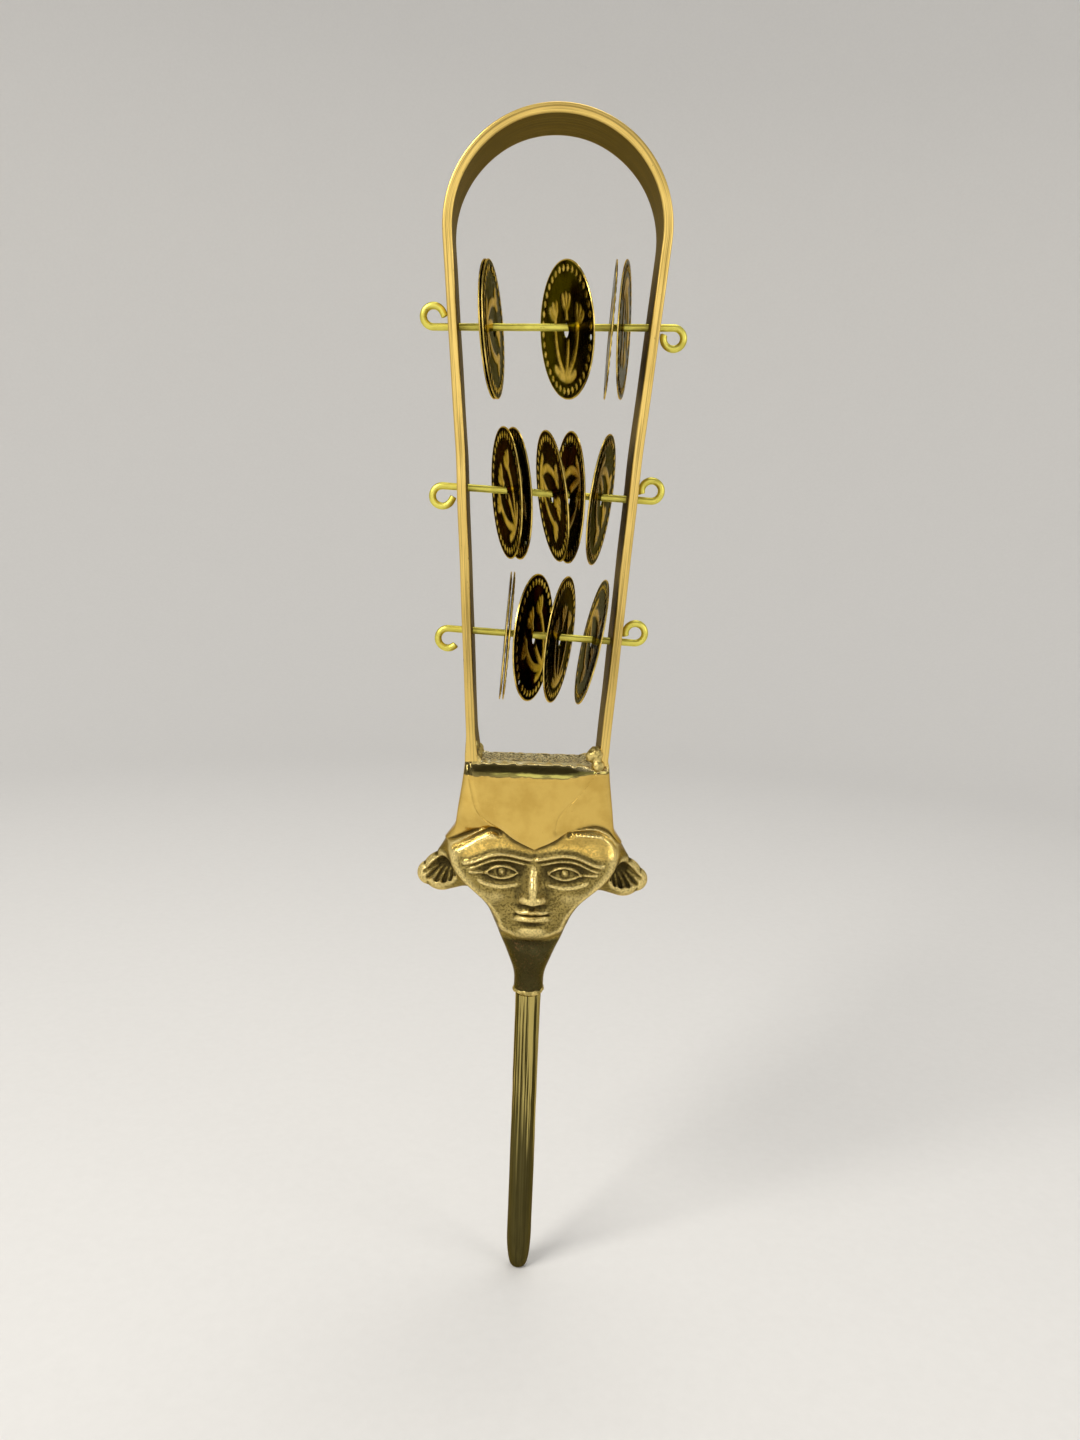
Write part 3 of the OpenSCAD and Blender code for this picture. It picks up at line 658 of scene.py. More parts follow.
def hollows(mesh, rounds, full):
    """Marks how far each point lies below or above the average of its neighbours, from 0 to 1."""
    ends = np.zeros(len(mesh.edges) * 2, int)
    mesh.edges.foreach_get("vertices", ends)
    ends = ends.reshape(-1, 2)
    spots = spots_of(mesh)
    normals = np.zeros(len(mesh.vertices) * 3)
    mesh.vertex_normals.foreach_get("vector", normals)
    ones, others = np.concatenate([ends, ends[:, ::-1]]).T
    count = np.bincount(ones, minlength=len(spots)).clip(1)
    soft = spots
    for _ in range(rounds):
        soft = np.stack([np.bincount(ones, soft[others, i], len(spots)) / count for i in range(3)], axis=1)
    depth = ((soft - spots) * normals.reshape(-1, 3)).sum(axis=1) / full
    mark(mesh, "hollow", np.clip(depth, 0, 1))
    mark(mesh, "ridge", np.clip(-depth, 0, 1))


head_mesh = skin("cast_head", head_field, (-37.0, -19.5, 47.9), (37.0, 12.0, 123.6), HEAD_CELL)
hollows(head_mesh, 30, 0.35)
head_x, head_y, head_z = spots_of(head_mesh).T
plain_back = step(head_y, -2, 3)
above_brow = head_z - brow_line(np.abs(head_x))
front_crown = np.maximum(above_band(head_x, head_z), 0.7 * step(above_brow, 1.2, 2.4))
mark(head_mesh, "crown", front_crown + (0.7 - front_crown) * plain_back)
stand_in(head_mesh, "head_casting", brass("cast_head_brass", head_finish))

# Braze ring at the collar
# Brass filler metal run round the joint of bar and neck.
# It set as an uneven, beaded ring about 1 mm thick, and was left as it ran.
RING_R = 1.1
RING_CELL = 0.16
FILLER_DARK = (0.38, 0.3, 0.1, 1)
FILLER_BRIGHT = (0.7, 0.55, 0.2, 1)
FILLER_SPECK = (0.14, 0.11, 0.04, 1)


def ring_field(points):
    """Below 0 inside the ring, which swells and thins along its way."""
    x, y, z = points.T
    wide = RING_R * (0.88 + 0.24 * lumps(points, 3.2, 11) + 0.14 * lumps(points, 1.7, 12))
    return np.hypot(np.hypot(x, y) - BAR_SEAT_R - 0.1, z - BAR_TOP + 0.1) - wide


def braze_finish(spot):
    """Blotched filler with dark specks."""
    blot = grain(spot, (0.7, 0.7, 0.7))
    speck = grain(spot, (3.0, 3.0, 3.0), 3.0)
    tone = blend(rise(blot, 0.38, 0.62), FILLER_DARK, FILLER_BRIGHT)
    colour = blend(rise(speck, 0.58, 0.75) * 0.6, tone, FILLER_SPECK)
    return colour, 0.24 + 0.3 * blot, 0.1 * speck + 0.15 * blot


braze_brass = brass("braze_filler", braze_finish)
ring_mesh = skin("collar_braze", ring_field, (-6.0, -6.0, 46.0), (6.0, 6.0, 50.0), RING_CELL)
stand_in(ring_mesh, "handle_braze_ring", braze_brass)

# Arch strip
# Flat brass bar, 20 mm by 2.7 mm, bent over a round former and drilled for the three rods.
# Its edges are filed by hand, so they wander a little, and its faces are brushed along the strip.
STRIP_T = 2.7
STRIP_W = 20.0
STRIP_EDGE_R = 0.5
STRIP_STEP = 1.25
ARCH_R = 31.6
ARCH_Z = 272.25
LEG_SLOPE = math.radians(5)
BEND_Z = 210.85
FOOT_HALF = 20.8
ROD_HOLE_R = 1.25
STRIP_BRIGHT = (0.84, 0.61, 0.185, 1)
STRIP_DEEP = (0.7, 0.495, 0.135, 1)
# Painted dark reflection for the broad faces, darkest inside the arch.
STRIP_FACE_REFLECTION = (0.075, 0.056, 0.016, 1)
STRIP_INSIDE_REFLECTION = (0.035, 0.026, 0.007, 1)
FILE_LINE = (0.28, 0.19, 0.05, 1)
BRUSH_LINE = (0.42, 0.28, 0.07, 1)
NICK_DARK = (0.16, 0.11, 0.03, 1)
# Each rod's height at the middle, and its slope in degrees, up to the right.
ROD_LINES = {"top": (247.25, 2.0), "middle": (200.85, -2.0), "bottom": (159.25, -2.4)}


def upper_half(z, inset):
    """Half the width between the legs above their bend, at a depth in from the outer face."""
    return (ARCH_R - inset + (z - ARCH_Z) * math.sin(LEG_SLOPE)) / math.cos(LEG_SLOPE)


def leg_inner(z):
    """Half the width between the legs' inner faces near their feet."""
    low, high = FOOT_HALF - STRIP_T, upper_half(BEND_Z, STRIP_T)
    return low + (high - low) * (z - SHOULDER) / (BEND_Z - SHOULDER)


def strip_line():
    """Points up the right leg's outer face, over the top and down the left leg, evenly spaced."""
    swing = np.radians(np.linspace(-5, 185, 140))
    right = [(FOOT_HALF, SHOULDER), (upper_half(BEND_Z, 0), BEND_Z)]
    over = [(ARCH_R * math.cos(a), ARCH_Z + ARCH_R * math.sin(a)) for a in swing]
    left = [(-x, z) for x, z in reversed(right)]
    line = np.array(right + over + left)
    run = np.concatenate([[0], np.cumsum(np.linalg.norm(np.diff(line, axis=0), axis=1))])
    even = np.linspace(0, run[-1], int(run[-1] / STRIP_STEP))
    line = np.stack([np.interp(even, run, line[:, i]) for i in (0, 1)], axis=1)
    for _ in range(3):
        line[1:-1] = (line[:-2] + 2 * line[1:-1] + line[2:]) / 4
    return line


def strip_section():
    """The strip's cross-section with rounded corners, as (inward from the outer face, front to back)."""
    r, y = STRIP_EDGE_R, STRIP_W / 2
    quarter = np.radians(np.linspace(0, 90, 5))
    across = np.linspace(-y + r, y - r, 16)[1:-1]
    inward = np.linspace(r, STRIP_T - r, 4)[1:-1]
    shape = [(r - r * math.cos(a), -y + r - r * math.sin(a)) for a in quarter]
    shape += [(t, -y) for t in inward]
    shape += [(STRIP_T - r + r * math.sin(a), -y + r - r * math.cos(a)) for a in quarter]
    shape += [(STRIP_T, t) for t in across]
    shape += [(STRIP_T - r + r * math.cos(a), y - r + r * math.sin(a)) for a in quarter]
    shape += [(t, y) for t in inward[::-1]]
    shape += [(r - r * math.sin(a), y - r + r * math.cos(a)) for a in quarter]
    shape += [(0, t) for t in across[::-1]]
    return np.array(shape)


def cut(mesh, cutters, sharp):
    """The mesh with holes cut by round bars, each (centre, direction, radius) in millimetres."""
    piece = put("uncut", mesh)
    name = mesh.name
    reach = 80.0
    bars = []
    for centre, direction, radius in cutters:
        turn = np.array(Vector((0, 0, 1)).rotation_difference(Vector(direction)).to_matrix())
        points, faces = turned([(radius, -reach), (radius, reach)])
        bar = put("hole_bar", mesh_of("hole_bar", points @ turn.T + centre, faces))
        hole = piece.modifiers.new("hole", "BOOLEAN")
        hole.object = bar
        hole.solver = "EXACT"
        bars.append(bar)
    bpy.context.view_layer.update()
    ready = piece.evaluated_get(bpy.context.evaluated_depsgraph_get())
    done = bpy.data.meshes.new_from_object(ready)
    for spare in bars + [piece]:
        bpy.data.meshes.remove(spare.data)
    done.name = name
    done.set_sharp_from_angle(angle=math.radians(sharp))
    return done


def strip_finish(spot):
    """Brushing along the strip, file lines on its edges, painted dark reflection on its broad faces,
    darkest inside the arch, and a few nicks.
    """
    along = stored(spot, "along")
    y = along_axis(spot, 1)
    run = spot.node("CombineXYZ", sockets={0: along, 1: y})
    flat = 1 - rise(y.maths("ABSOLUTE", y, 0.0), 9.1, 9.6)
    inset = stored(spot, "inset")
    groove = rise(inset, 0.3, 1.0) * (1 - rise(inset, 1.7, 2.4)) * (1 - flat)
    brush = grain(run, (0.03, 3.2, 1.0), 3.0)
    fine = grain(run, (0.06, 9.0, 1.0), 2.0)
    cloud = grain(spot, (0.07, 0.07, 0.07))
    nick = rise(grain(spot, (1.3, 1.3, 0.5), 2.0), 0.68, 0.76)
    lines = grain(spot.node("CombineXYZ", sockets={0: along, 1: inset}), (0.022, 2.2, 1.0), 2.0)
    tone = blend(rise(cloud, 0.2, 0.85), STRIP_BRIGHT, STRIP_DEEP)
    # Painted dark reflection on the broad faces, and more on the face inside the arch.
    tone = blend(flat * 0.5, tone, STRIP_FACE_REFLECTION)
    tone = blend(flat * rise(inset, 1.6, 2.4) * 0.85, tone, STRIP_INSIDE_REFLECTION)
    tone = blend(rise(lines, 0.47, 0.58) * (0.15 + 0.6 * groove) * (1 - flat), tone, FILE_LINE)
    tone = blend(rise(brush, 0.42, 0.7) * (0.15 + 0.25 * flat), tone, BRUSH_LINE)
    colour = blend(nick * 0.6, tone, NICK_DARK)
    roughness = 0.2 + 0.16 * brush + 0.12 * cloud + 0.16 * flat
    return colour, roughness, 0.03 * brush + 0.012 * fine - 0.05 * nick


outer = strip_line()
along_way = np.gradient(outer, axis=0)
along_way /= np.linalg.norm(along_way, axis=1)[:, None]
inward_way = np.stack([-along_way[:, 1], along_way[:, 0]], axis=1)
section = strip_section()
strip_rings = []
for place, way in zip(outer, inward_way):
    # The left leg grows thicker towards its foot.
    spread = 1 + 0.45 * (1 - step(place[1], SHOULDER, 131)) * (place[0] < 0)
    flat = place + way * (STRIP_T / 2 + (section[:, :1] - STRIP_T / 2) * spread)
    strip_rings.append(np.stack([flat[:, 0], section[:, 1], flat[:, 1]], axis=1))
strip_points, strip_faces = loft(strip_rings)
edge = np.tile(np.sign(section[:, 1]) * step(np.abs(section[:, 1]), 8, 9.6), len(outer))
strip_points[:, 1] -= edge * (0.08 + 0.09 * lumps(strip_points * [1, 0.05, 1], 17, 21))
strip_points[:, 0] += 0.06 * lumps(strip_points * [1, 0.3, 1], 24, 22) * step(strip_points[:, 2], 124, 132)
rod_holes = [
    ((0, 0, z), (math.cos(math.radians(a)), 0, math.sin(math.radians(a))), ROD_HOLE_R)
    for z, a in ROD_LINES.values()
]
strip = cut(mesh_of("arch_strip", strip_points, strip_faces), rod_holes, 40)
side_x, _, side_z = np.abs(spots_of(strip)).T
over_top = ARCH_Z + ARCH_R * np.arctan2(side_z - ARCH_Z, side_x)
mark(strip, "along", np.where(side_z > ARCH_Z, over_top, side_z))
low_half = leg_inner(side_z) + STRIP_T
leg_half = np.where(side_z < BEND_Z, low_half, upper_half(side_z, 0))
inset = np.where(side_z > ARCH_Z, ARCH_R - np.hypot(side_x, side_z - ARCH_Z), leg_half - side_x)
mark(strip, "inset", inset)
stand_in(strip, "arch_frame", brass("bent_strip_brass", strip_finish))

# Braze at the feet
# Filler metal in the corners between the legs and the crown: a small fillet on the left,
# and on the right a fillet with one large round bead that ran to the front and set there.
BEAD_R = 2.6
BEAD_Y = -8.4
BEAD_Z = SHOULDER + 3.2
FILLET_R = 1.7
FOOT_CELL = 0.22
# What ran down from the bead and in from it, and the drops on the left leg.
BEAD_RUN = ((18.0, -9.6, 122.3), 1.9)
BEAD_LAP = ((15.9, -9.0, 124.9), 1.8)
LEG_DROPS = ((-9.0, 127.6, 0.75), (-8.7, 126.3, 0.6), (-3.0, 125.6, 0.7))


def ball(points, centre, radius):
    """The distance from points to the skin of a ball."""
    return np.linalg.norm(points - list(centre), axis=1) - radius


def right_braze_field(points):
    """Below 0 inside the right leg's bead and fillet."""
    x, y, z = points.T
    rough = 0.16 * lumps(points, 2.6, 31) + 0.1 * lumps(points, 1.3, 32)
    bead = ball(points, (leg_inner(BEAD_Z) - 1.0, BEAD_Y, BEAD_Z), BEAD_R)
    bead = -meet(-bead, -ball(points, *BEAD_RUN), 0.8)
    bead = -meet(-bead, -ball(points, *BEAD_LAP), 0.5)
    swell = FILLET_R * (0.75 + 0.25 * np.sin(y * 0.9) + 0.2 * np.sin(y * 2.1 + 1))
    fillet = np.hypot(x - leg_inner(SHOULDER), z - SHOULDER) - swell
    fillet = np.maximum(fillet, np.abs(y) - 9.6)
    return -meet(-bead, -fillet, 0.7) - rough + 0.1


def left_braze_field(points):
    """Below 0 inside the left leg's fillet and drops."""
    x, y, z = points.T
    rough = 0.14 * lumps(points, 2.2, 33) + 0.08 * lumps(points, 1.1, 34)
    swell = FILLET_R * (0.8 + 0.15 * np.sin(y * 0.7 + 2) + 0.2 * np.sin(y * 1.7))
    fillet = np.hypot((x + leg_inner(SHOULDER)) * 1.15, (z - SHOULDER) * 0.75) - swell
    fillet = np.maximum(fillet, np.abs(y) - 9.7)
    for drop_y, drop_z, drop_r in LEG_DROPS:
        drop_x = x + leg_inner(drop_z) - 0.1
        drop = np.sqrt(drop_x**2 + (y - drop_y) ** 2 + (0.6 * (z - drop_z)) ** 2) - drop_r
        fillet = -meet(-fillet, -drop, 0.3)
    return fillet - rough + 0.1


right_box = (12.0, -13.0, 118.5), (22.0, 11.0, 130.0)
right_mesh = skin("right_braze_bead", right_braze_field, *right_box, FOOT_CELL)
stand_in(right_mesh, "right_foot_braze", braze_brass)
left_box = (-21.0, -11.0, 119.0), (-13.5, 11.0, 130.0)
left_mesh = skin("left_braze_fillet", left_braze_field, *left_box, FOOT_CELL)
stand_in(left_mesh, "left_foot_braze", braze_brass)

# Cross rods
# Brass wire, 2.2 mm thick, pushed through both legs and curled over with pliers at each end.
# The curls keep the rods in, and the rods turn freely in their holes.
WIRE_R = 1.1
WIRE_BRIGHT = (0.8, 0.73, 0.15, 1)
WIRE_DEEP = (0.64, 0.56, 0.1, 1)
WIRE_GLANCE = (0.8, 0.72, 0.3, 1)
BITE_DARK = (0.25, 0.2, 0.04, 1)
LOOP_R = 2.9
LOOP_LAP = 0.22
# Each rod's left and right end: where it is, the curl up (1) or down (-1), its turn in degrees, its tail.
ROD_ENDS = {
    "top": ((34.26, 1, 245, 1.5), (34.44, -1, 292, 0)),
    "middle": ((30.59, -1, 245, 1.4), (30.48, 1, 292, 0)),
    "bottom": ((28.0, -1, 235, 0), (27.88, 1, 292, 0)),
}
# The cut ends, as (along the rod, share of the wire's radius) from the middle of the cut to its edge.
WIRE_CUT = ((0.0, 0.25), (0.0, 0.75), (0.12, 0.97))


def wire_finish(spot):
    """Fine lines along the drawn wire, with darker bites of the pliers."""
    draw = grain(spot, (0.05, 4.0, 4.0), 2.0)
    cloud = grain(spot, (0.2, 0.3, 0.3))
    bite = rise(grain(spot, (0.9, 1.4, 1.4), 2.0), 0.66, 0.76)
    tone = blend(rise(cloud, 0.35, 0.7), WIRE_BRIGHT, WIRE_DEEP)
    colour = blend(bite * 0.5, tone, BITE_DARK)
    return colour, 0.34 + 0.14 * draw + 0.1 * bite, 0.02 * draw - 0.04 * bite


def curl(end, way, turn, tail):
    """Points round the curl at a rod's end, with a straight tail or none."""
    a = np.radians(np.linspace(0, turn, 40))
    bent = np.stack([end - LOOP_LAP + LOOP_R * np.sin(a), LOOP_R * (1 - np.cos(a))], axis=1)
    ahead = np.array([math.cos(a[-1]), math.sin(a[-1])])
    tails = [bent[-1] + ahead * t for t in np.linspace(0, tail, 6)[1:]] if tail else []
    return np.array(list(bent) + tails) * [1, way]


def rod_line(left, right):
    """Points along a rod and its curls, as (across, up), from the left cut end to the right one."""
    straight = np.linspace(LOOP_LAP - left[0], right[0] - LOOP_LAP, 42)[1:-1]
    straight = np.stack([straight, np.zeros(len(straight))], axis=1)
    return np.concatenate([curl(*left)[::-1] * [-1, 1], straight, curl(*right)])


wire_brass = brass("drawn_wire_brass", wire_finish, WIRE_GLANCE)
wire_round = np.linspace(0, 2 * np.pi, 20, endpoint=False)
for row, (height, slope) in ROD_LINES.items():
    line = rod_line(*ROD_ENDS[row])
    way = np.gradient(line, axis=0)
    way /= np.linalg.norm(way, axis=1)[:, None]
    side = np.stack([-way[:, 1], way[:, 0]], axis=1)
    last = len(line) - 1
    stops = [(0, along, size) for along, size in WIRE_CUT]
    stops += [(i, 0.0, 1.0) for i in range(1, last)]
    stops += [(last, -along, size) for along, size in reversed(WIRE_CUT)]
    rings = []
    for i, along, size in stops:
        middle = line[i] + way[i] * along
        flat = middle + side[i] * (size * WIRE_R * np.cos(wire_round))[:, None]
        rings.append(np.stack([flat[:, 0], -size * WIRE_R * np.sin(wire_round), flat[:, 1]], axis=1))
    points, faces = loft(rings)
    middles = np.repeat([r.mean(axis=0) for r in rings], len(wire_round), axis=0)
    swell = 0.03 * lumps(points, 6, 41) - 0.05
    points += (points - middles) * swell[:, None]
    lean = np.array(Matrix.Rotation(math.radians(-slope), 3, "Y"))
    points = points @ lean.T + [0, 0, height]
    stand_in(mesh_of(row + "_wire", points, faces, 50), row + "_rod", wire_brass)

# Discs
# Stamped from thin bright sheet, 38 mm across: 36 beads round the border, a spray of three water lilies
# in the middle, a punched hole for the rod and a sewing hole near the rim in place of one bead.
DISC_R = 19.0
DISC_HOLE_R = 2.0
DISC_T = 0.4
DISC_STEPS = 216
HANG = 0.8
SEW_R = 16.7
SEW_HOLE_R = 0.9
BEADS = 36
BEAD_RING = 16.7
BEAD_HALF_WIDE = 1.06
BEAD_HALF_TALL = 1.03
STROKE_HALF = 1.6
PRESS = 0.2
# The spray's lilies, as (root, tip, sway), and the leaf at their feet.
LILIES = (
    ((0.5, 12.5), (-0.8, -5.6), 1.5), ((-1.2, 12), (-8.2, -2.4), -1.8), ((2.2, 12), (7.6, -3.2), 1.8),
)
LEAF = ((-6.5, 11.5), (-3, 12.9), (1, 13.3), (4.5, 12.6), (7, 11))
# The sheet's colours and its glance tint are far darker than bare brass: a painted dark reflection.
SHEET_REFLECTION_LIGHT = (0.125, 0.114, 0.026, 1)
SHEET_REFLECTION_DARK = (0.064, 0.06, 0.012, 1)
SHEET_SPOT = (0.045, 0.04, 0.01, 1)
SHEET_FLANK_SHADE = (0.04, 0.036, 0.008, 1)
SHEET_GLANCE = (0.24, 0.21, 0.07, 1)
# Bright metal for the raised stamping, rubbed and with a painted highlight, and for a painted glint round
# the rim.
RUBBED_HIGHLIGHT_BRIGHT = (0.88, 0.65, 0.17, 1)
RUBBED_HIGHLIGHT_DEEP = (0.52, 0.38, 0.085, 1)
RUBBED_HIGHLIGHT_GLANCE = (0.8, 0.62, 0.28, 1)
# Each disc's place along the rod, and in degrees its turn, its lean and where its sewing hole is.
DISC_ROWS = {
    "top": [
        (-17.984, -7.5, -4.5, 89), (-17.085, -7.5, -4.5, 186), (3.66, 21.5, -6.5, 283),
        (16.336, -2, 2.5, 20), (20.2, -9.5, 1, 117),
    ],
    "middle": [
        (-11.931, 14, -5.5, 229), (-9.183, 14, -5.5, 326), (1.372, 11.5, -9, 31),
        (6.382, 11.5, -1, 160), (15.968, -13, 6, 151),
    ],
    "bottom": [
        (-10.75, 1, 3.5, 9), (-9.76, 1, 3.5, 106), (-2.332, -18, 1.5, 316),
        (5.548, -14, 5, 277), (15.042, 4, 11, 37),
    ],
}


def stroke(x, y, points):
    """Distance from each place to a line through points."""
    nearest = np.full(x.shape, 1e9)
    for (ax, ay), (bx, by) in zip(points, points[1:]):
        dx, dy = bx - ax, by - ay
        t = np.clip(((x - ax) * dx + (y - ay) * dy) / (dx**2 + dy**2), 0, 1)
        nearest = np.minimum(nearest, np.hypot(x - ax - t * dx, y - ay - t * dy))
    return nearest


def lily(root, tip, sway):
    """The lines of a flower: a stem from root to tip that sways to one side, and three petals."""
    root, tip = np.array(root, float), np.array(tip, float)
    way = (tip - root) / np.linalg.norm(tip - root)
    side = np.array([-way[1], way[0]])
    t = np.linspace(0, 1, 9)[:, None]
    stem = root + (tip - root) * t + side * sway * np.sin(np.pi * t)
    lines = [stem.tolist()]
    for spread in (-1, 0, 1):
        petal = tip + way * (3.6 - 0.5 * abs(spread)) + side * 2.3 * spread
        belly = tip + way * 1.5 + side * 1.7 * spread
        lines.append([tip.tolist(), belly.tolist(), petal.tolist()])
    return lines


def disc_relief(x, y):
    """How far the stamping is pressed, from 0 to 1, and the sheet's gentle swell in millimetres."""
    r, a = np.hypot(x, y), np.arctan2(y, x)
    near = (a - np.round(a * BEADS / 2 / np.pi) * 2 * np.pi / BEADS) * BEAD_RING
    bead = np.clip(1 - (near / BEAD_HALF_WIDE) ** 2 - ((r - BEAD_RING) / BEAD_HALF_TALL) ** 2, 0, 1) ** 0.4
    bead *= step(np.hypot(x - SEW_R, y), 1.7, 1.9)
    lines = [line for flower in LILIES for line in lily(*flower)] + [LEAF]
    far = np.min([stroke(x, y, line) for line in lines], axis=0)
    spray = np.clip(1 - (far / STROKE_HALF) ** 2, 0, 1) * step(r, 2.5, 3.3)
    swell = 0.06 * step(r, 2.4, 8) * (1 - step(r, 10, 15.4))
    return np.maximum(bead, spray), swell - 0.03


def disc_finish(spot):
    """Painted dark reflection over the smeared mirror sheet, with fine scratches, and painted shade in the
    hollows.
    """
    hollow = stored(spot, "hollow")
    scratch = grain(spot, (3.0, 6.0, 0.3), 2.0) * grain(spot, (3.0, 0.3, 7.0), 2.0)
    smear = grain(spot, (0.11, 0.11, 0.11))
    spotty = rise(grain(spot, (0.9, 0.9, 0.9)), 0.64, 0.74)
    # Painted dark reflection over the whole sheet, smeared and spotted.
    tone = blend(rise(smear, 0.36, 0.66), SHEET_REFLECTION_LIGHT, SHEET_REFLECTION_DARK)
    tone = blend(spotty * 0.5, tone, SHEET_SPOT)
    # Painted shade in the hollows beside the raised stamping.
    colour = blend(rise(hollow, 0.1, 0.9) * 0.6, tone, SHEET_FLANK_SHADE)
    roughness = 0.1 + 0.1 * smear + 0.14 * rise(scratch, 0.27, 0.36)
    return colour, roughness, 0.008 * scratch + 0.02 * smear


def rub_and_highlight(material):
    """Mixes in bright metal where the stamping stands up, rubbed bright and with a painted highlight, and a
    painted glint round the rim.
    """
    tree = material.node_tree
    dull = tree.nodes["Principled BSDF"]
    start = Shade(tree, dull.outputs[0])
    stamp_and_rim_glint = stored(start, "stamp_and_rim_glint")
    # Rubbed metal with a painted highlight, in two tones by noise.
    worn = blend(rise(grain(spot_on(start), (0.3, 0.3, 0.3)), 0.4, 0.62), RUBBED_HIGHLIGHT_BRIGHT, RUBBED_HIGHLIGHT_DEEP)
    sockets = {"Base Color": worn, "Metallic": 1.0, "Roughness": 0.24, "Specular Tint": RUBBED_HIGHLIGHT_GLANCE}
    sockets["Normal"] = Shade(tree, dull.inputs["Normal"].links[0].from_socket)
    bright = start.node("BsdfPrincipled", sockets=sockets)
    both = start.node("MixShader", sockets={0: rise(stamp_and_rim_glint, 0.1, 0.95), 1: start, 2: bright})
    tree.links.new(both.socket, tree.nodes["Material Output"].inputs["Surface"])


swing = np.linspace(0, 2 * np.pi, DISC_STEPS, endpoint=False)
picture_r = np.linspace(2.5, 15.6, 36)
border_r = np.linspace(15.85, 17.6, 9)
rim_r = [18.0, 18.5, DISC_R - 0.1]
face_r = np.concatenate([[DISC_HOLE_R, DISC_HOLE_R + 0.12], picture_r, border_r, rim_r])
top_rows = [(r, DISC_T / 2) for r in face_r] + [(DISC_R, DISC_T / 2 - 0.1)]
disc_rows = top_rows + [(r, -h) for r, h in reversed(top_rows)]
disc_points = []
for r, h in disc_rows:
    x, y = r * np.cos(swing), r * np.sin(swing)
    pressed, swell = disc_relief(x, y)
    disc_points.append(np.stack([x, y, h + PRESS * pressed + swell], axis=1))
disc_points = np.concatenate(disc_points)
disc_faces = []
for k in range(len(disc_rows)):
    ring, ring_after = k * DISC_STEPS, (k + 1) % len(disc_rows) * DISC_STEPS
    for i in range(DISC_STEPS):
        after = (i + 1) % DISC_STEPS
        disc_faces.append((ring + after, ring + i, ring_after + i, ring_after + after))
disc_brass = brass("stamped_disc_brass", disc_finish, SHEET_GLANCE)
rub_and_highlight(disc_brass)
sew_hole = (SEW_R, 0, 0), (0, 0, 1), SEW_HOLE_R
pattern = cut(mesh_of("disc_pattern", disc_points, disc_faces, 35), [sew_hole], 35)
hollows(pattern, 8, 0.08)
pattern_x, pattern_y = spots_of(pattern).T[:2]
# Painted glint round the rim, stored with the stamping's relief.
rim_glint = step(np.hypot(pattern_x, pattern_y), 18.4, 18.8)
mark(pattern, "stamp_and_rim_glint", np.maximum(disc_relief(pattern_x, pattern_y)[0], rim_glint))


def turn_by(degrees, axis):
    """A turn about an axis."""
    return Matrix.Rotation(math.radians(degrees), 4, axis)


for row, row_discs in DISC_ROWS.items():
    height, slope = ROD_LINES[row]
    for number, (place, turn, lean, hole_at) in enumerate(row_discs, 1):
        rod = Matrix.Translation((0, 0, height * MM)) @ turn_by(-slope, "Y")
        hung = Matrix.Translation((place * MM, 0, 0)) @ turn_by(slope, "Y")
        tilt = turn_by(turn, "Z") @ turn_by(90 + lean, "Y")
        spin = Matrix.Translation((HANG * MM, 0, 0)) @ turn_by(hole_at, "Z")
        disc = pattern.copy()
        disc.name = f"{row}_jingle_{number}"
        disc.transform(rod @ hung @ tilt @ spin)
        stand_in(disc, f"{row}_disc_{number}", disc_brass)

# Studio
# A round floor of pale paper that bends up to a wall, with soft lamps on both sides, in front and above.
# The camera looks a little down at the front. Sizes here are in metres.
FLOOR_Z = BAR_TIP * MM
FLOOR_R = 0.8
BEND_R = 0.6
WALL_TOP = 1.7
PAPER_LIGHT = (0.78, 0.77, 0.75, 1)
PAPER_DARK = (0.74, 0.73, 0.71, 1)


def floor_paint():
    """Matt paper with a faint fleck."""
    made = bpy.data.materials.new("pale_paper")
    made.use_nodes = True
    tree = made.node_tree
    paper = tree.nodes["Principled BSDF"]
    paper.inputs["Roughness"].default_value = 0.9
    paper.inputs["Specular IOR Level"].default_value = 0.1
    spot = Shade(tree).node("TexCoord", output=3)
    tint = blend(grain(spot, (300.0, 300.0, 300.0)), PAPER_DARK, PAPER_LIGHT)
    tree.links.new(tint.socket, paper.inputs["Base Color"])
    return made


bend = np.radians(np.linspace(0, 90, 24))
sweep = [(0.02, FLOOR_Z), (FLOOR_R / 2, FLOOR_Z)]
sweep += [(FLOOR_R + BEND_R * math.sin(a), FLOOR_Z + BEND_R * (1 - math.cos(a))) for a in bend]
sweep += [(FLOOR_R + BEND_R, WALL_TOP)]
paper_points, paper_faces = turned(sweep)
paper_mesh = mesh_of("paper_sweep", paper_points / MM, paper_faces[:-1], 80)
paper_mesh.materials.append(floor_paint())
put("paper_sweep", paper_mesh)

AIM = Vector((0.00045, 0, 0.13375))
LAMP_TINT = (1.0, 0.97, 0.92)
AIR_TINT = (0.9, 0.93, 1.0, 1)
AIR_STRENGTH = 0.36
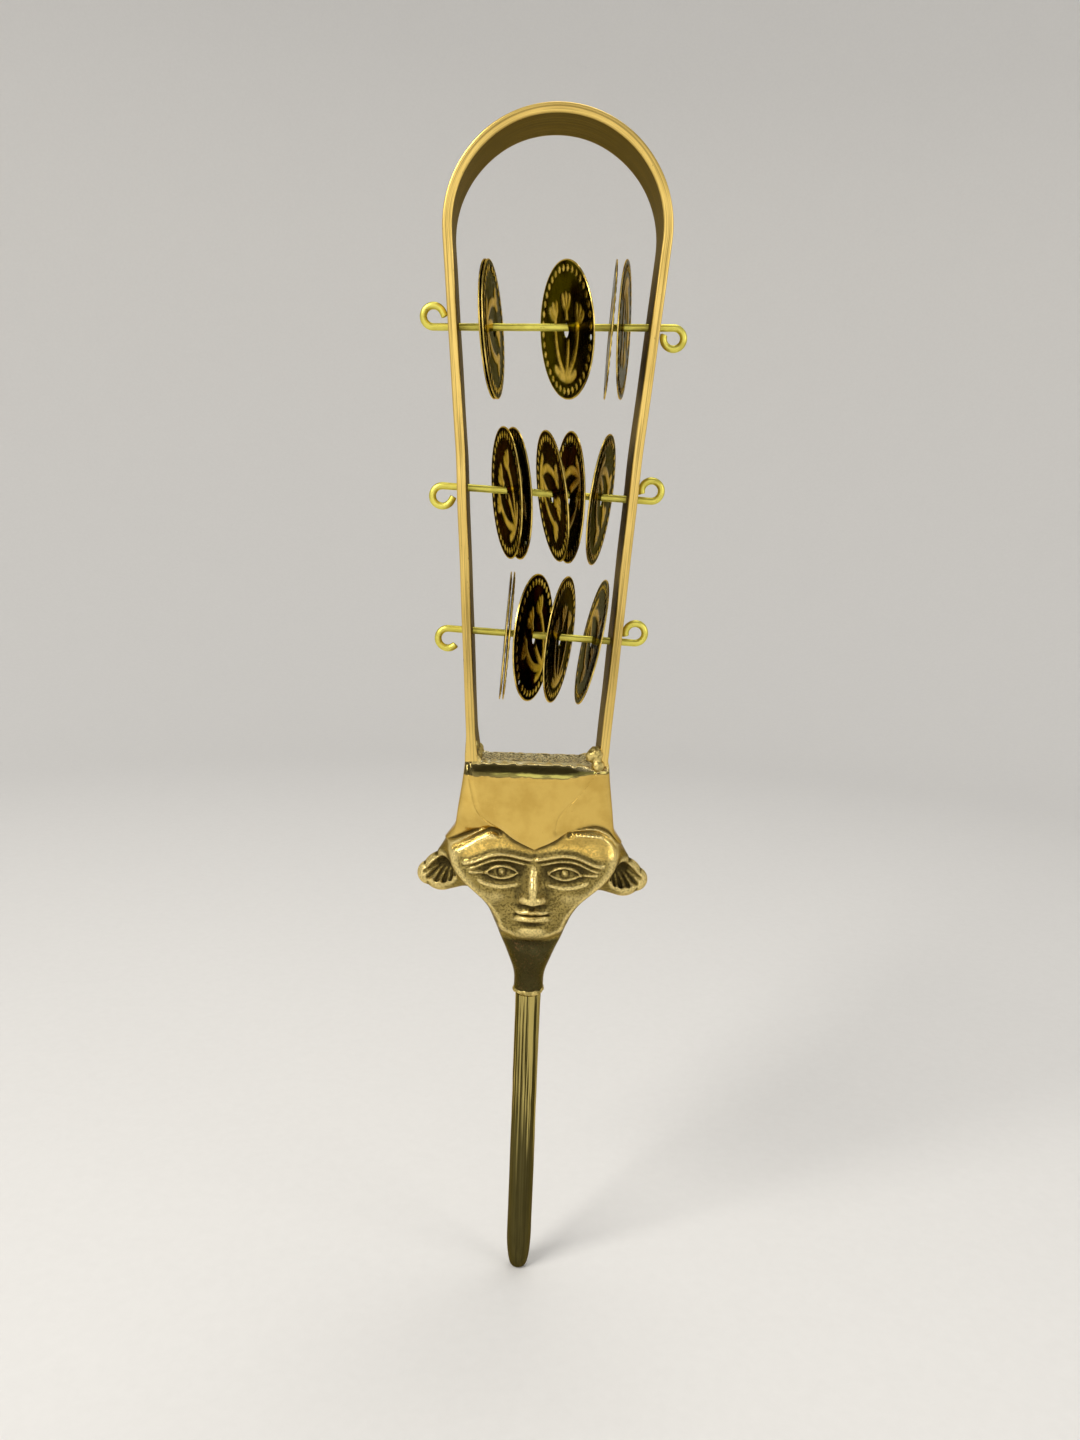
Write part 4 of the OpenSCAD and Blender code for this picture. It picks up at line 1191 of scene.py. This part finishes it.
# Each lamp's place, width, height and power in watts.
LAMPS = {
    "key_lamp": ((-0.7, -0.6, 0.95), 0.5, 0.5, 10.0),
    "fill_lamp": ((0.85, -0.55, 0.5), 0.5, 0.5, 2.2),
    "top_lamp": ((0.1, 0.25, 1.1), 0.5, 0.5, 3.0),
    "front_lamp": ((-0.05, -1.1, 0.42), 0.9, 0.4, 1.15),
}
for name, (place, wide, tall, power) in LAMPS.items():
    lamp = bpy.data.lights.new(name, "AREA")
    lamp.shape = "RECTANGLE"
    lamp.size = wide
    lamp.size_y = tall
    lamp.energy = power
    lamp.color = LAMP_TINT
    holder = put(name, lamp)
    holder.location = place
    holder.rotation_mode = "QUATERNION"
    holder.rotation_quaternion = (AIM - Vector(place)).to_track_quat("-Z", "Y")
    holder.visible_camera = False

world = bpy.data.worlds.new("studio_air")
world.use_nodes = True
air = world.node_tree.nodes["Background"]
air.inputs["Color"].default_value = AIR_TINT
air.inputs["Strength"].default_value = AIR_STRENGTH
bpy.context.scene.world = world
bpy.context.scene.view_settings.view_transform = "Standard"

# The lens and the frame's height in pixels of the 1080 by 1440 frame, and the camera's angles and distance.
LENS_PIXELS = 1150
FRAME_PIXELS = 1440
YAW, PITCH, ROLL = (math.radians(a) for a in (1.0, 10.0, 2.2))
REACH = 0.347
ahead = Vector((math.sin(YAW) * math.cos(PITCH), math.cos(YAW) * math.cos(PITCH), -math.sin(PITCH)))
level = Vector((math.cos(YAW), -math.sin(YAW), 0))
upright = level.cross(ahead)
right_way = level * math.cos(ROLL) + upright * math.sin(ROLL)
up_way = upright * math.cos(ROLL) - level * math.sin(ROLL)
camera = bpy.data.cameras.new("photo_camera")
camera.sensor_width = 36.0
camera.lens = camera.sensor_width * LENS_PIXELS / FRAME_PIXELS
camera.clip_start = 0.01
camera.clip_end = 20
eye = put("photo_camera", camera)
axes = Matrix((right_way, up_way, -ahead)).transposed().to_4x4()
eye.matrix_world = Matrix.Translation(AIM - ahead * REACH) @ axes
bpy.context.scene.camera = eye
